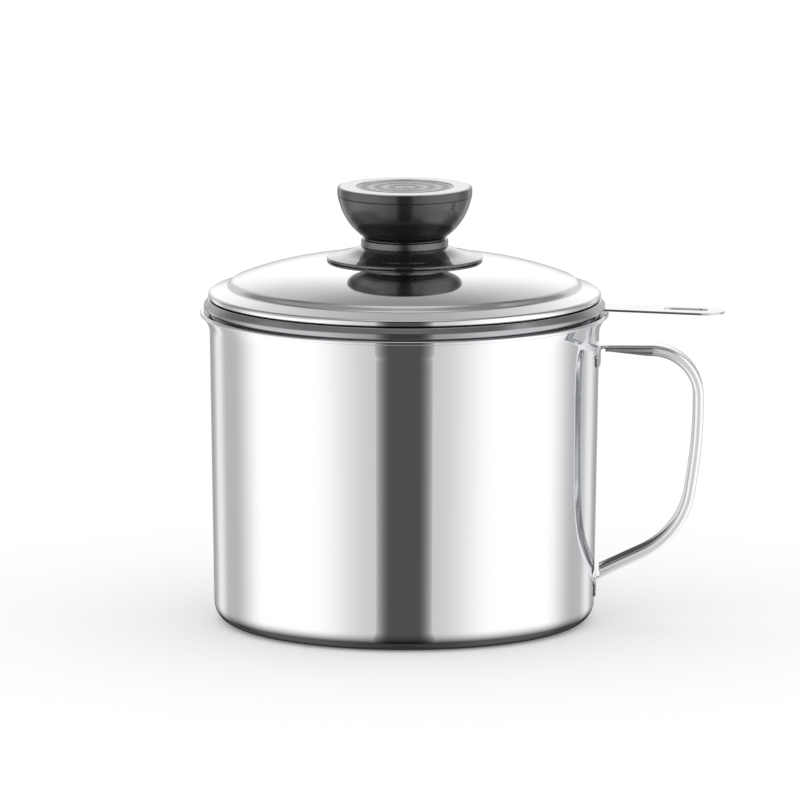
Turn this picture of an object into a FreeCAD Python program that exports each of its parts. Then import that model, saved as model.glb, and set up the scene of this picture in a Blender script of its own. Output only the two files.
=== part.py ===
import FreeCAD, Part
import Sketcher
import math
import os

# Bacon grease container: a drawn steel pot with a pressed strap handle, a strainer that
# hangs in the pot's flared rim, and a domed lid that rests on the strainer's rolled rim.
#
# Frame: +Z up, origin at the centre of the pot's flat base, both handles along +X.
# Lengths are millimetres. Radii are measured from the Z axis.

SIZES = [
    # pot
    ("pot_height", 95.85, "top of the rim bead above the table"),
    ("pot_radius", 62.5, "outside of the rim bead"),
    ("pot_bead", 0.65, "section radius of the rim bead"),
    ("pot_sheet", 0.6, "sheet of the pot"),
    ("pot_draft", 1.4, "lean of the wall, from the table to the flare"),
    ("pot_corner", 6.2, "bend between the wall and the base"),
    ("flare_run", 2.25, "flare, outwards to the middle of the bead"),
    ("flare_rise", 4.4, "flare, upwards to the middle of the bead"),
    ("flare_bend", 7.0, "bend between the wall and the flare"),
    # pot handle
    ("handle_width", 10.0, "strap, side to side"),
    ("handle_sheet", 1.0, "sheet of the strap"),
    ("handle_depth", 3.2, "side flanges of the strap"),
    ("handle_root_depth", 1.5, "side flanges beside the wall, upper arm"),
    ("handle_taper", 15.0, "length over which the flanges reach full depth"),
    ("handle_flange_gap", 0.2, "end of the side flanges beyond the feet's bends"),
    ("handle_edge", 0.95, "rounding along the strap's outer edges"),
    ("handle_drop", 10.15, "top face of the upper arm below the pot's rim"),
    ("handle_reach", 32.0, "outside of the grip from the top of the wall"),
    ("handle_shoulder_bend", 16.0, "bend above the grip"),
    ("handle_waist", 0.48, "where the grip starts to lean in, as a share of its height"),
    ("handle_waist_bend", 150.0, "slow bend of the grip, if it has the room"),
    ("handle_waist_room", 0.95, "share of the straight above the waist that the bend may take"),
    ("handle_heel_reach", 27.4, "corner under the grip, from the top of the wall"),
    ("handle_heel_height", 25.9, "corner under the grip, above the table"),
    ("handle_heel_bend", 27.0, "bend below the grip"),
    ("handle_foot_height", 12.9, "underside of the lower arm at the wall"),
    ("handle_foot_bend", 1.6, "bends into the two feet"),
    ("foot_sheet", 0.5, "feet, flattened against the wall"),
    ("foot_length", 4.8, "lower foot, down the wall"),
    ("foot_width", 14.6, "lower foot, across"),
    ("foot_slope", 0.6, "fall of the lower foot's shoulders, from the arm outwards"),
    ("wing_top", 0.5, "top of the upper foot below the arm's top face"),
    ("wing_length", 5.4, "upper foot, down the wall"),
    ("wing_width", 25.0, "upper foot, across"),
    ("wing_slope", 2.0, "fall of the upper foot's shoulders, from the arm outwards"),
    ("foot_corner", 1.4, "rounded corners of the feet"),
    ("weld_gap", 0.1, "feet to the wall"),
    # strainer
    ("strainer_clearance", 0.4, "wall of the strainer to the inside of the pot"),
    ("strainer_sheet", 0.5, "sheet of the strainer"),
    ("strainer_seat_gap", 0.3, "shoulder of the strainer to the flare"),
    ("strainer_rim_inset", 1.1, "rim of the strainer inside the pot's rim"),
    ("strainer_rim_width", 2.2, "rolled rim, across"),
    ("strainer_apex_rise", 4.93, "corner over the neck of the strainer, above the pot"),
    ("strainer_roll", 0.6, "bend over the neck of the strainer"),
    ("strainer_edge_rise", 2.0, "outer corner of the rim's slope above the pot"),
    ("strainer_edge_bend", 0.6, "bend below the rim's slope"),
    ("strainer_lip_rise", 1.3, "lower edge of the rolled rim above the pot"),
    ("strainer_step_bend", 1.5, "bends of the shoulder"),
    ("strainer_wall_depth", 12.0, "bottom of the strainer's wall below the pot's rim"),
    ("strainer_floor_bend", 0.8, "bend into the bottom flange"),
    ("strainer_floor_width", 2.9, "bottom flange that carries the mesh"),
    ("mesh_thickness", 0.4, "wire mesh"),
    ("mesh_margin", 2.8, "flat margin of the mesh on the bottom flange"),
    ("mesh_edge_bend", 1.5, "bend below the margin"),
    ("mesh_depth", 22.0, "dish of the mesh below its margin"),
    ("mesh_slope_run", 24.5, "slope of the dish, inwards from its margin"),
    ("mesh_slope_flat", 0.5, "straight left on the slope between its two bends"),
    ("mesh_flat_radius", 5.0, "flat middle of the dish, at least"),
    ("hoop_gap", 0.5, "hoop that holds the mesh, to the strainer's wall"),
    ("hoop_width", 2.0, "hoop that holds the mesh, across"),
    ("hoop_height", 1.4, "hoop that holds the mesh, up"),
    ("hoop_edge", 0.4, "rounding of the hoop"),
    # strainer handle
    ("tab_sheet", 0.7, "sheet of the strainer's handle"),
    ("tab_root_gap", 0.2, "handle to the strainer's wall"),
    ("tab_reach", 38.1, "tip of the handle from its root"),
    ("tab_root_width", 10.4, "handle where it leaves the rim"),
    ("tab_width", 15.3, "handle at its rounded tip"),
    ("tab_droop", 1.8, "slope of the handle, in degrees"),
    ("tab_edge", 0.15, "rounding of the handle's edges"),
    ("tab_slot_width", 4.8, "hanging slot, across"),
    ("tab_slot_length", 13.5, "hanging slot, end to end"),
    ("tab_slot_setback", 5.1, "hanging slot from the tip"),
    ("round_end_flat", 0.1, "straight left between the two bends of a rounded end"),
    # lid
    ("lid_sheet", 0.6, "sheet of the lid"),
    ("lid_inset", 1.4, "curled edge of the lid inside the strainer's rim"),
    ("lid_curl", 1.1, "bends of the curled edge"),
    ("lid_curl_height", 2.08, "curled edge, bottom to its outer shoulder"),
    ("lid_curl_return", 2.8, "underside of the curled edge, across"),
    ("lid_seat_gap", 0.3, "curled edge to the strainer's rolled rim"),
    ("lid_brim_run", 5.8, "sloping brim, inwards"),
    ("lid_brim_height", 3.83, "foot of the dome above the curled edge"),
    ("lid_foot_bend", 1.5, "bend between the brim and the dome"),
    ("lid_step_run", 1.3, "steep edge of the dome, inwards"),
    ("lid_step_height", 5.43, "top of the steep edge above the curled edge"),
    ("lid_step_bend", 2.4, "bend over the steep edge"),
    ("lid_side_run", 16.9, "side of the dome, inwards to the corner of its bend"),
    ("lid_side_flat", 0.7, "straight left between the two bends of the dome"),
    ("lid_height", 12.13, "flat top of the dome above the curled edge"),
    # knob, measured up from the lid's flat top
    ("skirt_radius", 23.9, "edge of the skirt"),
    ("skirt_edge", 0.8, "thickness of the skirt at its edge"),
    ("skirt_land", 0.6, "flat underside of the skirt's edge"),
    ("skirt_height", 4.1, "top of the skirt"),
    ("skirt_waist_run", 4.2, "corner of the skirt's hollow flare, out from the neck ring"),
    ("skirt_waist_height", 2.1, "corner of the skirt's hollow flare"),
    ("skirt_waist_bend", 20.0, "bend of the skirt's hollow flare"),
    ("skirt_hub_inset", 2.3, "hub of the skirt, inside the neck ring's outer face"),
    ("skirt_wall", 0.9, "skirt over its hollow"),
    ("skirt_rounding", 0.2, "rounding of the skirt's edge"),
    ("collar_radius", 13.3, "outside of the neck ring"),
    ("collar_wall", 1.2, "wall of the neck ring"),
    ("collar_height", 2.1, "neck ring"),
    ("collar_edge", 0.3, "rounding of the neck ring"),
    ("neck_gap", 0.15, "moulded neck inside the neck ring"),
    ("bowl_foot_inset", 1.0, "underside of the bowl inside the neck ring"),
    ("bowl_foot_land", 0.5, "short upright land at the foot of the bowl"),
    ("bowl_cheek_radius", 18.3, "corner of the bowl's side"),
    ("bowl_cheek_height", 4.8, "corner of the bowl's side above the neck ring"),
    ("bowl_cheek_bend", 19.0, "bend of the bowl's side"),
    ("bowl_radius", 20.6, "bowl at the seam, and the bezel"),
    ("bowl_height", 13.4, "bowl, neck ring to seam"),
    ("bowl_core_radius", 13.0, "cored hollow under the bezel"),
    ("bowl_core_depth", 5.0, "depth of the cored hollow"),
    ("bowl_core_bend", 1.0, "bend at the bottom of the cored hollow"),
    ("seam_edge", 0.25, "rounded edges either side of the seam"),
    ("bezel_height", 2.6, "bezel"),
    ("bezel_lip", 0.5, "lip of the bezel round the cap plate, across"),
    ("bezel_edge", 0.2, "rounding of the bezel's lip"),
    ("bezel_recess", 0.6, "cap plate's seat below the bezel's lip"),
    ("bezel_bore", 16.0, "opening of the bezel"),
    ("cap_inset", 0.1, "cap plate inside the bezel's lip"),
    ("cap_height", 0.8, "cap plate"),
    ("cap_edge", 0.2, "rounding of the cap plate"),
    ("cap_dish_radius", 15.0, "sunk middle of the cap plate"),
    ("cap_dish_depth", 0.25, "sunk middle of the cap plate"),
    ("cap_boss_height", 1.5, "boss that locates the cap plate in the bezel"),
    ("cap_boss_gap", 0.15, "boss to the bezel"),
    # fastening of the knob
    ("screw_radius", 2.5, "shank of the screw"),
    ("screw_reach", 11.0, "end of the screw above the lid's flat top"),
    ("screw_gap", 0.05, "screw in the insert's thread"),
    ("screw_head_radius", 5.0, "head of the screw"),
    ("screw_head_height", 3.0, "head of the screw"),
    ("screw_head_bend", 1.6, "rounding of the screw's head"),
    ("shank_clearance", 0.3, "holes in the washer, the lid and the skirt round the screw"),
    ("washer_radius", 8.0, "washer inside the lid"),
    ("washer_sheet", 1.0, "washer inside the lid"),
    ("insert_radius", 4.2, "threaded insert in the knob"),
    ("insert_height", 9.0, "threaded insert in the knob"),
    ("insert_gap", 0.05, "insert in its moulded pocket"),
]

# --- shared places, written as expressions on the sheet ---------------------------------------

BEAD_RADIUS = "(sizes.pot_radius - sizes.pot_bead)"
BEAD_HEIGHT = "(sizes.pot_height - sizes.pot_bead)"
WALL_TOP = f"({BEAD_RADIUS} - sizes.flare_run)"
WALL_FOOT = f"({WALL_TOP} - sizes.pot_draft)"
FLARE_FOOT = f"({BEAD_HEIGHT} - sizes.flare_rise)"
FLARE_SINE = "(sizes.flare_run / sqrt(sizes.flare_run^2 + sizes.flare_rise^2))"

STRAINER_WALL = (
    f"({WALL_TOP} - sizes.pot_sheet - sizes.strainer_clearance - sizes.strainer_sheet)")
STRAINER_RIM = "(sizes.pot_radius - sizes.strainer_rim_inset)"
STRAINER_NECK = f"({STRAINER_RIM} - sizes.strainer_rim_width)"
STRAINER_APEX = "(sizes.pot_height + sizes.strainer_apex_rise)"
STRAINER_EDGE = "(sizes.pot_height + sizes.strainer_edge_rise)"
STRAINER_LIP = "(sizes.pot_height + sizes.strainer_lip_rise)"
STRAINER_FLOOR = "(sizes.pot_height - sizes.strainer_wall_depth)"

# The lid's round edge sits on the strainer's round rim: two circles and the gap between them.
RIM_ANGLE = f"atan(sizes.strainer_rim_width / ({STRAINER_APEX} - {STRAINER_EDGE}))"
ROLL_CENTRE = f"({STRAINER_APEX} - sizes.strainer_roll / tan({RIM_ANGLE} / 2))"
LID_RADIUS = f"({STRAINER_RIM} - sizes.lid_inset)"
SEAT_RUN = f"({STRAINER_NECK} + sizes.strainer_roll - {LID_RADIUS} + sizes.lid_curl)"
SEAT_REACH = "(sizes.strainer_roll + sizes.lid_curl + sizes.lid_seat_gap)"
LID_BOTTOM = (
    f"({ROLL_CENTRE} + sqrt({SEAT_REACH}^2 - {SEAT_RUN}^2) - sizes.lid_curl)")
LID_TOP = f"({LID_BOTTOM} + sizes.lid_height)"

BOWL_FOOT = "(sizes.skirt_height + sizes.collar_height)"
SEAM = f"({BOWL_FOOT} + sizes.bowl_height)"
BEZEL_TOP = f"({SEAM} + sizes.bezel_height)"
CAP_FOOT = f"({BEZEL_TOP} - sizes.bezel_recess)"
CAP_SEAT = "(sizes.bowl_radius - sizes.bezel_lip)"
NECK_BORE = "(sizes.collar_radius - sizes.collar_wall)"
SHANK_BORE = "(sizes.screw_radius + sizes.shank_clearance)"
WASHER_TOP = "(-sizes.lid_sheet)"
HEAD_TOP = f"({WASHER_TOP} - sizes.washer_sheet)"


def seat_height(radius):
    """Height of the strainer's shoulder, which lies parallel to the pot's flare."""
    stack = "(sizes.pot_sheet + sizes.strainer_seat_gap + sizes.strainer_sheet)"
    climb = f"({radius} - {WALL_TOP}) * sizes.flare_rise / sizes.flare_run"
    return f"({FLARE_FOOT} + {climb} + {stack} / {FLARE_SINE})"


def wall_radius(height):
    """Outside of the pot's tapered wall at a height."""
    return f"({WALL_FOOT} + sizes.pot_draft * {height} / {FLARE_FOOT})"


# --- document, sheet and drawing helpers ------------------------------------------------------

doc = FreeCAD.newDocument("grease_container")
sheet = doc.addObject("Spreadsheet::Sheet", "sizes")
for row, (alias, value, meaning) in enumerate(SIZES, start=1):
    sheet.set(f"A{row}", meaning)
    sheet.set(f"B{row}", str(value))
    sheet.setAlias(f"B{row}", alias)
doc.recompute()

X_AXIS = FreeCAD.Vector(1, 0, 0)
Y_AXIS = FreeCAD.Vector(0, 1, 0)
Z_AXIS = FreeCAD.Vector(0, 0, 1)
SIDE_VIEW = FreeCAD.Rotation(X_AXIS, 90)
END_VIEW = FreeCAD.Rotation(FreeCAD.Vector(1, 1, 1), 120)
SKETCH_ORIGIN = (-1, 1)
START = 1
END = 2
CENTRE = 3
SLACK = 1e-6


def hold_point(sketch, geometry, position, across, up):
    """Hold one point of a sketch at its two expressions."""
    for kind, expression in (("DistanceX", across), ("DistanceY", up)):
        value = sketch.evalExpression(expression)
        held = sketch.addConstraint(
            Sketcher.Constraint(kind, *SKETCH_ORIGIN, geometry, position, value))
        sketch.setExpression(f"Constraints[{held}]", expression)


def hold_radius(sketch, geometry, expression):
    """Hold a round piece of a sketch at its radius."""
    value = sketch.evalExpression(expression)
    held = sketch.addConstraint(Sketcher.Constraint("Radius", geometry, value))
    sketch.setExpression(f"Constraints[{held}]", expression)


def bend_points(before, place, after, radius):
    """Start, crown and end of the tangent bend that rounds a corner."""
    back = (before - place).normalize()
    ahead = (after - place).normalize()
    half_angle = back.getAngle(ahead) / 2
    setback = radius / math.tan(half_angle)
    middle = (back + ahead).normalize()
    crown = place + middle * (radius / math.sin(half_angle) - radius)
    return place + back * setback, crown, place + ahead * setback


def join_corner(sketch, corner, place, points, run_before, run_after):
    """Put one corner of an outline in its place, sharp or rounded by its bend."""
    across, up, bend = corner
    if not bend:
        hold_point(sketch, run_before, END, across, up)
        sketch.addConstraint(Sketcher.Constraint("Coincident", run_before, END, run_after, START))
        return
    apex = sketch.addGeometry(Part.Point(place), True)
    hold_point(sketch, apex, START, across, up)
    sketch.addConstraint(Sketcher.Constraint("PointOnObject", apex, START, run_before))
    sketch.addConstraint(Sketcher.Constraint("PointOnObject", apex, START, run_after))
    arc = sketch.addGeometry(Part.Arc(*points), False)
    start_gap = sketch.getPoint(arc, START).distanceToPoint(points[0])
    end_gap = sketch.getPoint(arc, END).distanceToPoint(points[0])
    first, last = (START, END) if start_gap < end_gap else (END, START)
    sketch.addConstraint(Sketcher.Constraint("Tangent", run_before, END, arc, first))
    sketch.addConstraint(Sketcher.Constraint("Tangent", arc, last, run_after, START))
    hold_radius(sketch, arc, bend)


def draw(sketch, corners, closed):
    """Straight runs from corner to corner, with a tangent bend at each rounded corner.

    A corner is (across, up, bend): expressions for its place and its bend radius,
    with "" for a sharp corner.
    """
    places = [
        FreeCAD.Vector(sketch.evalExpression(across), sketch.evalExpression(up), 0)
        for across, up, bend in corners]
    count = len(corners)
    points = []
    for i, place in enumerate(places):
        bend = corners[i][2]
        if bend:
            radius = sketch.evalExpression(bend)
            points.append(bend_points(places[i - 1], place, places[(i + 1) % count], radius))
        else:
            points.append((place, place, place))
    runs = []
    for i in range(count if closed else count - 1):
        run = Part.LineSegment(points[i][2], points[(i + 1) % count][0])
        runs.append(sketch.addGeometry(run, False))
    if not closed:
        hold_point(sketch, runs[0], START, corners[0][0], corners[0][1])
        hold_point(sketch, runs[-1], END, corners[-1][0], corners[-1][1])
    for i in range(0 if closed else 1, len(runs)):
        join_corner(sketch, corners[i], places[i], points[i], runs[i - 1], runs[i])


def free_sketch(name, view, corners, closed):
    """Sketch through the origin, facing one way."""
    sketch = doc.addObject("Sketcher::SketchObject", name)
    sketch.Placement = FreeCAD.Placement(FreeCAD.Vector(), view)
    draw(sketch, corners, closed)
    return sketch


def band(name, line, thickness):
    """Area that a line sweeps when it is given a thickness on its left."""
    swept = doc.addObject("Part::Offset2D", name)
    swept.Source = line
    swept.Mode = "Skin"
    swept.Fill = True
    swept.setExpression("Value", thickness)
    return swept


def spun_sheet(name, corners, thickness):
    """Sheet metal turned about Z, from the line of one of its faces."""
    line = free_sketch(name + "_line", SIDE_VIEW, corners, closed=False)
    spun = doc.addObject("Part::Revolution", name)
    spun.Source = band(name + "_section", line, thickness)
    spun.Axis = Z_AXIS
    spun.Angle = 360
    spun.Solid = True
    return spun


def extruded(name, outline, direction, forwards, backwards="0"):
    """An outline drawn out along one direction, or both ways along it."""
    solid = doc.addObject("Part::Extrusion", name)
    solid.Base = outline
    solid.DirMode = "Custom"
    solid.Dir = direction
    solid.Solid = True
    solid.setExpression("LengthFwd", forwards)
    solid.setExpression("LengthRev", backwards)
    return solid


def cut(name, base, tool):
    """One solid less another."""
    result = doc.addObject("Part::Cut", name)
    result.Base = base
    result.Tool = tool
    result.Refine = True
    return result


def fuse(name, shapes):
    """Several overlapping solids as one."""
    result = doc.addObject("Part::MultiFuse", name)
    result.Shapes = shapes
    result.Refine = True
    return result


def body_sketch(body, name, role):
    """Sketch on one of the body's own origin planes."""
    sketch = body.newObject("Sketcher::SketchObject", name)
    plane = next(feature for feature in body.Origin.OriginFeatures if feature.Role == role)
    sketch.AttachmentSupport = [(plane, "")]
    sketch.MapMode = "FlatFace"
    return sketch


def turned_body(name, corners):
    """PartDesign body turned about Z from a closed section."""
    body = doc.addObject("PartDesign::Body", name)
    section = body_sketch(body, name + "_section", "XZ_Plane")
    draw(section, corners, closed=True)
    turn = body.newObject("PartDesign::Revolution", name + "_turn")
    turn.Profile = section
    turn.ReferenceAxis = (section, ["V_Axis"])
    turn.Angle = 360
    return body


# --- pot --------------------------------------------------------------------------------------


def make_pot_body():
    """Drawn cup with a flared rim that ends in a small rolled bead."""
    cup = spun_sheet("pot_cup", [
        ("0", "0", ""),
        (WALL_FOOT, "0", "sizes.pot_corner"),
        (WALL_TOP, FLARE_FOOT, "sizes.flare_bend"),
        (BEAD_RADIUS, BEAD_HEIGHT, ""),
    ], "sizes.pot_sheet")
    bead = doc.addObject("Part::Torus", "pot_bead_ring")
    bead.setExpression("Radius1", BEAD_RADIUS)
    bead.setExpression("Radius2", "sizes.pot_bead")
    bead.setExpression("Placement.Base.z", BEAD_HEIGHT)
    return fuse("pot_body", [cup, bead])


def wall_cone(name, gap):
    """The pot's wall as a solid cone, larger by a gap."""
    cone = doc.addObject("Part::Cone", name)
    cone.setExpression("Radius1", f"{WALL_FOOT} + {gap}")
    cone.setExpression("Radius2", f"{WALL_TOP} + {gap}")
    cone.setExpression("Height", FLARE_FOOT)
    return cone


def welded_foot(name, plate, low, high, width, slope):
    """A rounded piece of the plate that lies round the pot's wall.

    Its shoulders slope down by some height, from the strap's sides outwards.
    """
    side = f"({width} / 2)"
    neck = "(sizes.handle_width / 2)"
    shoulder = f"({high} - {slope})"
    outline = free_sketch(name + "_outline", END_VIEW, [
        (f"-{side}", low, "sizes.foot_corner"),
        (side, low, "sizes.foot_corner"),
        (side, shoulder, "sizes.foot_corner"),
        (neck, high, ""),
        (f"-{neck}", high, ""),
        (f"-{side}", shoulder, "sizes.foot_corner"),
    ], closed=True)
    foot = doc.addObject("Part::MultiCommon", name)
    foot.Shapes = [plate, extruded(name + "_block", outline, X_AXIS, "sizes.pot_radius")]
    return foot


def long_edges(shape, line):
    """Names of the edges along both sides of the grip, which follow its outer line."""
    names = []
    for number, edge in enumerate(shape.Edges, start=1):
        middle = edge.valueAt((edge.FirstParameter + edge.LastParameter) / 2)
        beside = Part.Vertex(middle.x, 0, middle.z)
        if edge.BoundBox.YLength < SLACK and line.distToShape(beside)[0] < SLACK:
            names.append(f"Edge{number}")
    return names


def make_pot_handle():
    """Pressed strap of channel section, its two ends turned down into welded feet."""
    top = "(sizes.pot_height - sizes.handle_drop)"
    reach = f"({WALL_TOP} + sizes.handle_reach)"
    heel = f"({WALL_TOP} + sizes.handle_heel_reach)"
    grip = f"({top} - sizes.handle_heel_height)"
    waist = f"({top} - sizes.handle_waist * {grip})"
    lean = f"(atan(({reach} - {heel}) / ({waist} - sizes.handle_heel_height)) / 2)"
    room = f"(sizes.handle_waist_room * ({top} - {waist} - sizes.handle_shoulder_bend))"
    waist_bend = f"min(sizes.handle_waist_bend; {room} / tan({lean}))"
    upper_wall = wall_radius(top)
    lower_wall = wall_radius("sizes.handle_foot_height")
    upper_face = f"({upper_wall} - sizes.handle_sheet / 2)"
    lower_face = f"({lower_wall} + sizes.handle_sheet / 2)"
    grip_corners = [
        (heel, "sizes.handle_heel_height", "sizes.handle_heel_bend"),
        (reach, waist, waist_bend),
        (reach, top, "sizes.handle_shoulder_bend"),
    ]
    strap_line = free_sketch("handle_strap_line", SIDE_VIEW, [
        (lower_face, "sizes.handle_foot_height - sizes.foot_length", ""),
        (lower_face, "sizes.handle_foot_height", "sizes.handle_foot_bend"),
        *grip_corners,
        (upper_face, top, "sizes.handle_foot_bend"),
        (upper_face, f"{top} - sizes.wing_length", ""),
    ], closed=False)
    half_width = "sizes.handle_width / 2"
    strap = extruded(
        "handle_strap", band("handle_strap_section", strap_line, "sizes.handle_sheet"),
        Y_AXIS, half_width, half_width)
    flange_line = free_sketch("handle_flange_line", SIDE_VIEW, [
        (lower_face, "sizes.handle_foot_height", ""),
        *grip_corners,
        (upper_face, top, ""),
    ], closed=False)
    flange_section = band("handle_flange_section", flange_line, "sizes.handle_depth")
    inner_width = f"{half_width} - sizes.handle_sheet"
    block = extruded("handle_block", flange_section, Y_AXIS, half_width, half_width)
    core = extruded("handle_core", flange_section, Y_AXIS, inner_width, inner_width)
    sides = cut("handle_sides", block, core)
    wedge_line = free_sketch("handle_taper_line", SIDE_VIEW, [
        (upper_wall, f"{top} - sizes.handle_root_depth", ""),
        (f"{upper_wall} + sizes.handle_taper", f"{top} - sizes.handle_depth", ""),
        (upper_wall, f"{top} - 2 * sizes.handle_depth", ""),
    ], closed=True)
    wedge = extruded("handle_taper_wedge", wedge_line, Y_AXIS, half_width, half_width)
    tapered = cut("handle_tapered_sides", sides, wedge)
    flange_clear = wall_cone(
        "handle_flange_clear", "sizes.handle_foot_bend + sizes.handle_flange_gap")
    flanges = cut("handle_flanges", tapered, flange_clear)
    channel = doc.addObject("PartDesign::Body", "handle_channel")
    channel.BaseFeature = fuse("handle_pressing", [strap, flanges])
    doc.recompute()
    pressing = channel.Group[0]
    rounded = channel.newObject("PartDesign::Fillet", "handle_rounding")
    rounded.Base = (pressing, long_edges(pressing.Shape, flange_line.Shape))
    rounded.setExpression("Radius", "sizes.handle_edge")
    wall_clear = wall_cone("handle_wall_clear", "sizes.weld_gap")
    plate = cut(
        "foot_plate", wall_cone("foot_outside", "sizes.weld_gap + sizes.foot_sheet"), wall_clear)
    wing_high = f"({top} - sizes.wing_top)"
    upper_foot = welded_foot(
        "upper_foot", plate, f"{wing_high} - sizes.wing_length", wing_high,
        "sizes.wing_width", "sizes.wing_slope")
    lower_foot = welded_foot(
        "lower_foot", plate, "sizes.handle_foot_height - sizes.foot_length",
        "sizes.handle_foot_height", "sizes.foot_width", "sizes.foot_slope")
    fitted = cut("handle_fitted", channel, wall_clear)
    return fuse("pot_handle", [fitted, upper_foot, lower_foot])


# --- strainer ---------------------------------------------------------------------------------


def make_strainer_rim():
    """Wall with a shoulder that nests in the flare, and a rim that slopes down outside."""
    return spun_sheet("strainer_rim", [
        (STRAINER_RIM, STRAINER_LIP, ""),
        (STRAINER_RIM, STRAINER_EDGE, "sizes.strainer_edge_bend"),
        (STRAINER_NECK, STRAINER_APEX, "sizes.strainer_roll"),
        (STRAINER_NECK, seat_height(STRAINER_NECK), "sizes.strainer_step_bend"),
        (STRAINER_WALL, seat_height(STRAINER_WALL), "sizes.strainer_step_bend"),
        (STRAINER_WALL, STRAINER_FLOOR, "sizes.strainer_floor_bend"),
        (f"{STRAINER_WALL} - sizes.strainer_floor_width", STRAINER_FLOOR, ""),
    ], "sizes.strainer_sheet")


def make_strainer_mesh():
    """Dished wire mesh with a flat margin that lies on the strainer's bottom flange."""
    top = f"({STRAINER_FLOOR} + sizes.mesh_thickness)"
    edge = f"({STRAINER_WALL} - sizes.strainer_floor_bend)"
    inner = f"({edge} - sizes.mesh_margin)"
    corner = f"({inner} - sizes.mesh_slope_run)"
    half_slope = "(atan(sizes.mesh_depth / sizes.mesh_slope_run) / 2)"
    slope_length = "sqrt(sizes.mesh_depth^2 + sizes.mesh_slope_run^2)"
    edge_setback = f"sizes.mesh_edge_bend * tan({half_slope})"
    room = f"({slope_length} - {edge_setback} - sizes.mesh_slope_flat)"
    dish_bend = f"min({corner} - sizes.mesh_flat_radius; {room}) / tan({half_slope})"
    return spun_sheet("strainer_mesh", [
        (edge, top, ""),
        (inner, top, "sizes.mesh_edge_bend"),
        (corner, f"{top} - sizes.mesh_depth", dish_bend),
        ("0", f"{top} - sizes.mesh_depth", ""),
    ], "sizes.mesh_thickness")


def make_strainer_hoop():
    """Ring welded over the mesh's margin."""
    outer = f"({STRAINER_WALL} - sizes.hoop_gap)"
    inner = f"({outer} - sizes.hoop_width)"
    low = f"({STRAINER_FLOOR} + sizes.mesh_thickness)"
    high = f"({low} + sizes.hoop_height)"
    return turned_body("strainer_hoop", [
        (inner, low, ""),
        (outer, low, ""),
        (outer, high, "sizes.hoop_edge"),
        (inner, high, "sizes.hoop_edge"),
    ])


def pocket_through(body, name, sketch):
    """Cut a sketch's shape right through the handle's sheet."""
    pocket = body.newObject("PartDesign::Pocket", name)
    pocket.Profile = sketch
    pocket.Midplane = True
    pocket.setExpression("Length", "4 * sizes.tab_sheet")
    return pocket


def make_strainer_handle():
    """Flat paddle with a hanging slot, its root curved to the strainer's wall."""
    root = f"({STRAINER_NECK} + sizes.strainer_sheet + sizes.tab_root_gap)"
    tip = f"({root} + sizes.tab_reach)"
    splay = "((sizes.tab_width - sizes.tab_root_width) / (2 * sizes.tab_reach))"
    tip_bend = (
        f"(sizes.tab_width - sizes.round_end_flat) / 2 * (sqrt(1 + {splay}^2) - {splay})")
    body = doc.addObject("PartDesign::Body", "strainer_handle")
    outline = body_sketch(body, "tab_outline", "XY_Plane")
    draw(outline, [
        (f"{root} - sizes.tab_sheet", "-sizes.tab_root_width / 2", ""),
        (tip, "-sizes.tab_width / 2", tip_bend),
        (tip, "sizes.tab_width / 2", tip_bend),
        (f"{root} - sizes.tab_sheet", "sizes.tab_root_width / 2", ""),
    ], closed=True)
    plate = body.newObject("PartDesign::Pad", "tab_plate")
    plate.Profile = outline
    plate.Reversed = True
    plate.setExpression("Length", "sizes.tab_sheet")
    slot_end = f"({tip} - sizes.tab_slot_setback)"
    slot_start = f"({slot_end} - sizes.tab_slot_length)"
    slot_bend = "(sizes.tab_slot_width - sizes.round_end_flat) / 2"
    slot_line = body_sketch(body, "tab_slot_outline", "XY_Plane")
    draw(slot_line, [
        (slot_start, "-sizes.tab_slot_width / 2", slot_bend),
        (slot_end, "-sizes.tab_slot_width / 2", slot_bend),
        (slot_end, "sizes.tab_slot_width / 2", slot_bend),
        (slot_start, "sizes.tab_slot_width / 2", slot_bend),
    ], closed=True)
    pocket_through(body, "tab_slot", slot_line)
    root_line = body_sketch(body, "tab_root_outline", "XY_Plane")
    circle = root_line.addGeometry(
        Part.Circle(FreeCAD.Vector(), Z_AXIS, root_line.evalExpression(root)), False)
    root_line.addConstraint(Sketcher.Constraint("Coincident", circle, CENTRE, *SKETCH_ORIGIN))
    hold_radius(root_line, circle, root)
    blank = pocket_through(body, "tab_root", root_line)
    doc.recompute()
    root_radius = body.evalExpression(root)
    rounded = body.newObject("PartDesign::Fillet", "tab_rounding")
    rounded.Base = (blank, [
        f"Edge{number}" for number, edge in enumerate(blank.Shape.Edges, start=1)
        if edge.BoundBox.ZLength < SLACK and edge.CenterOfMass.x > root_radius])
    rounded.setExpression("Radius", "sizes.tab_edge")
    body.Placement.Rotation = FreeCAD.Rotation(Y_AXIS, body.evalExpression("sizes.tab_droop"))
    body.setExpression("Placement.Rotation.Angle", "sizes.tab_droop")
    body.setExpression("Placement.Base.z", f"{STRAINER_LIP} + {root} * sin(sizes.tab_droop)")
    return body


# --- lid --------------------------------------------------------------------------------------


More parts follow.
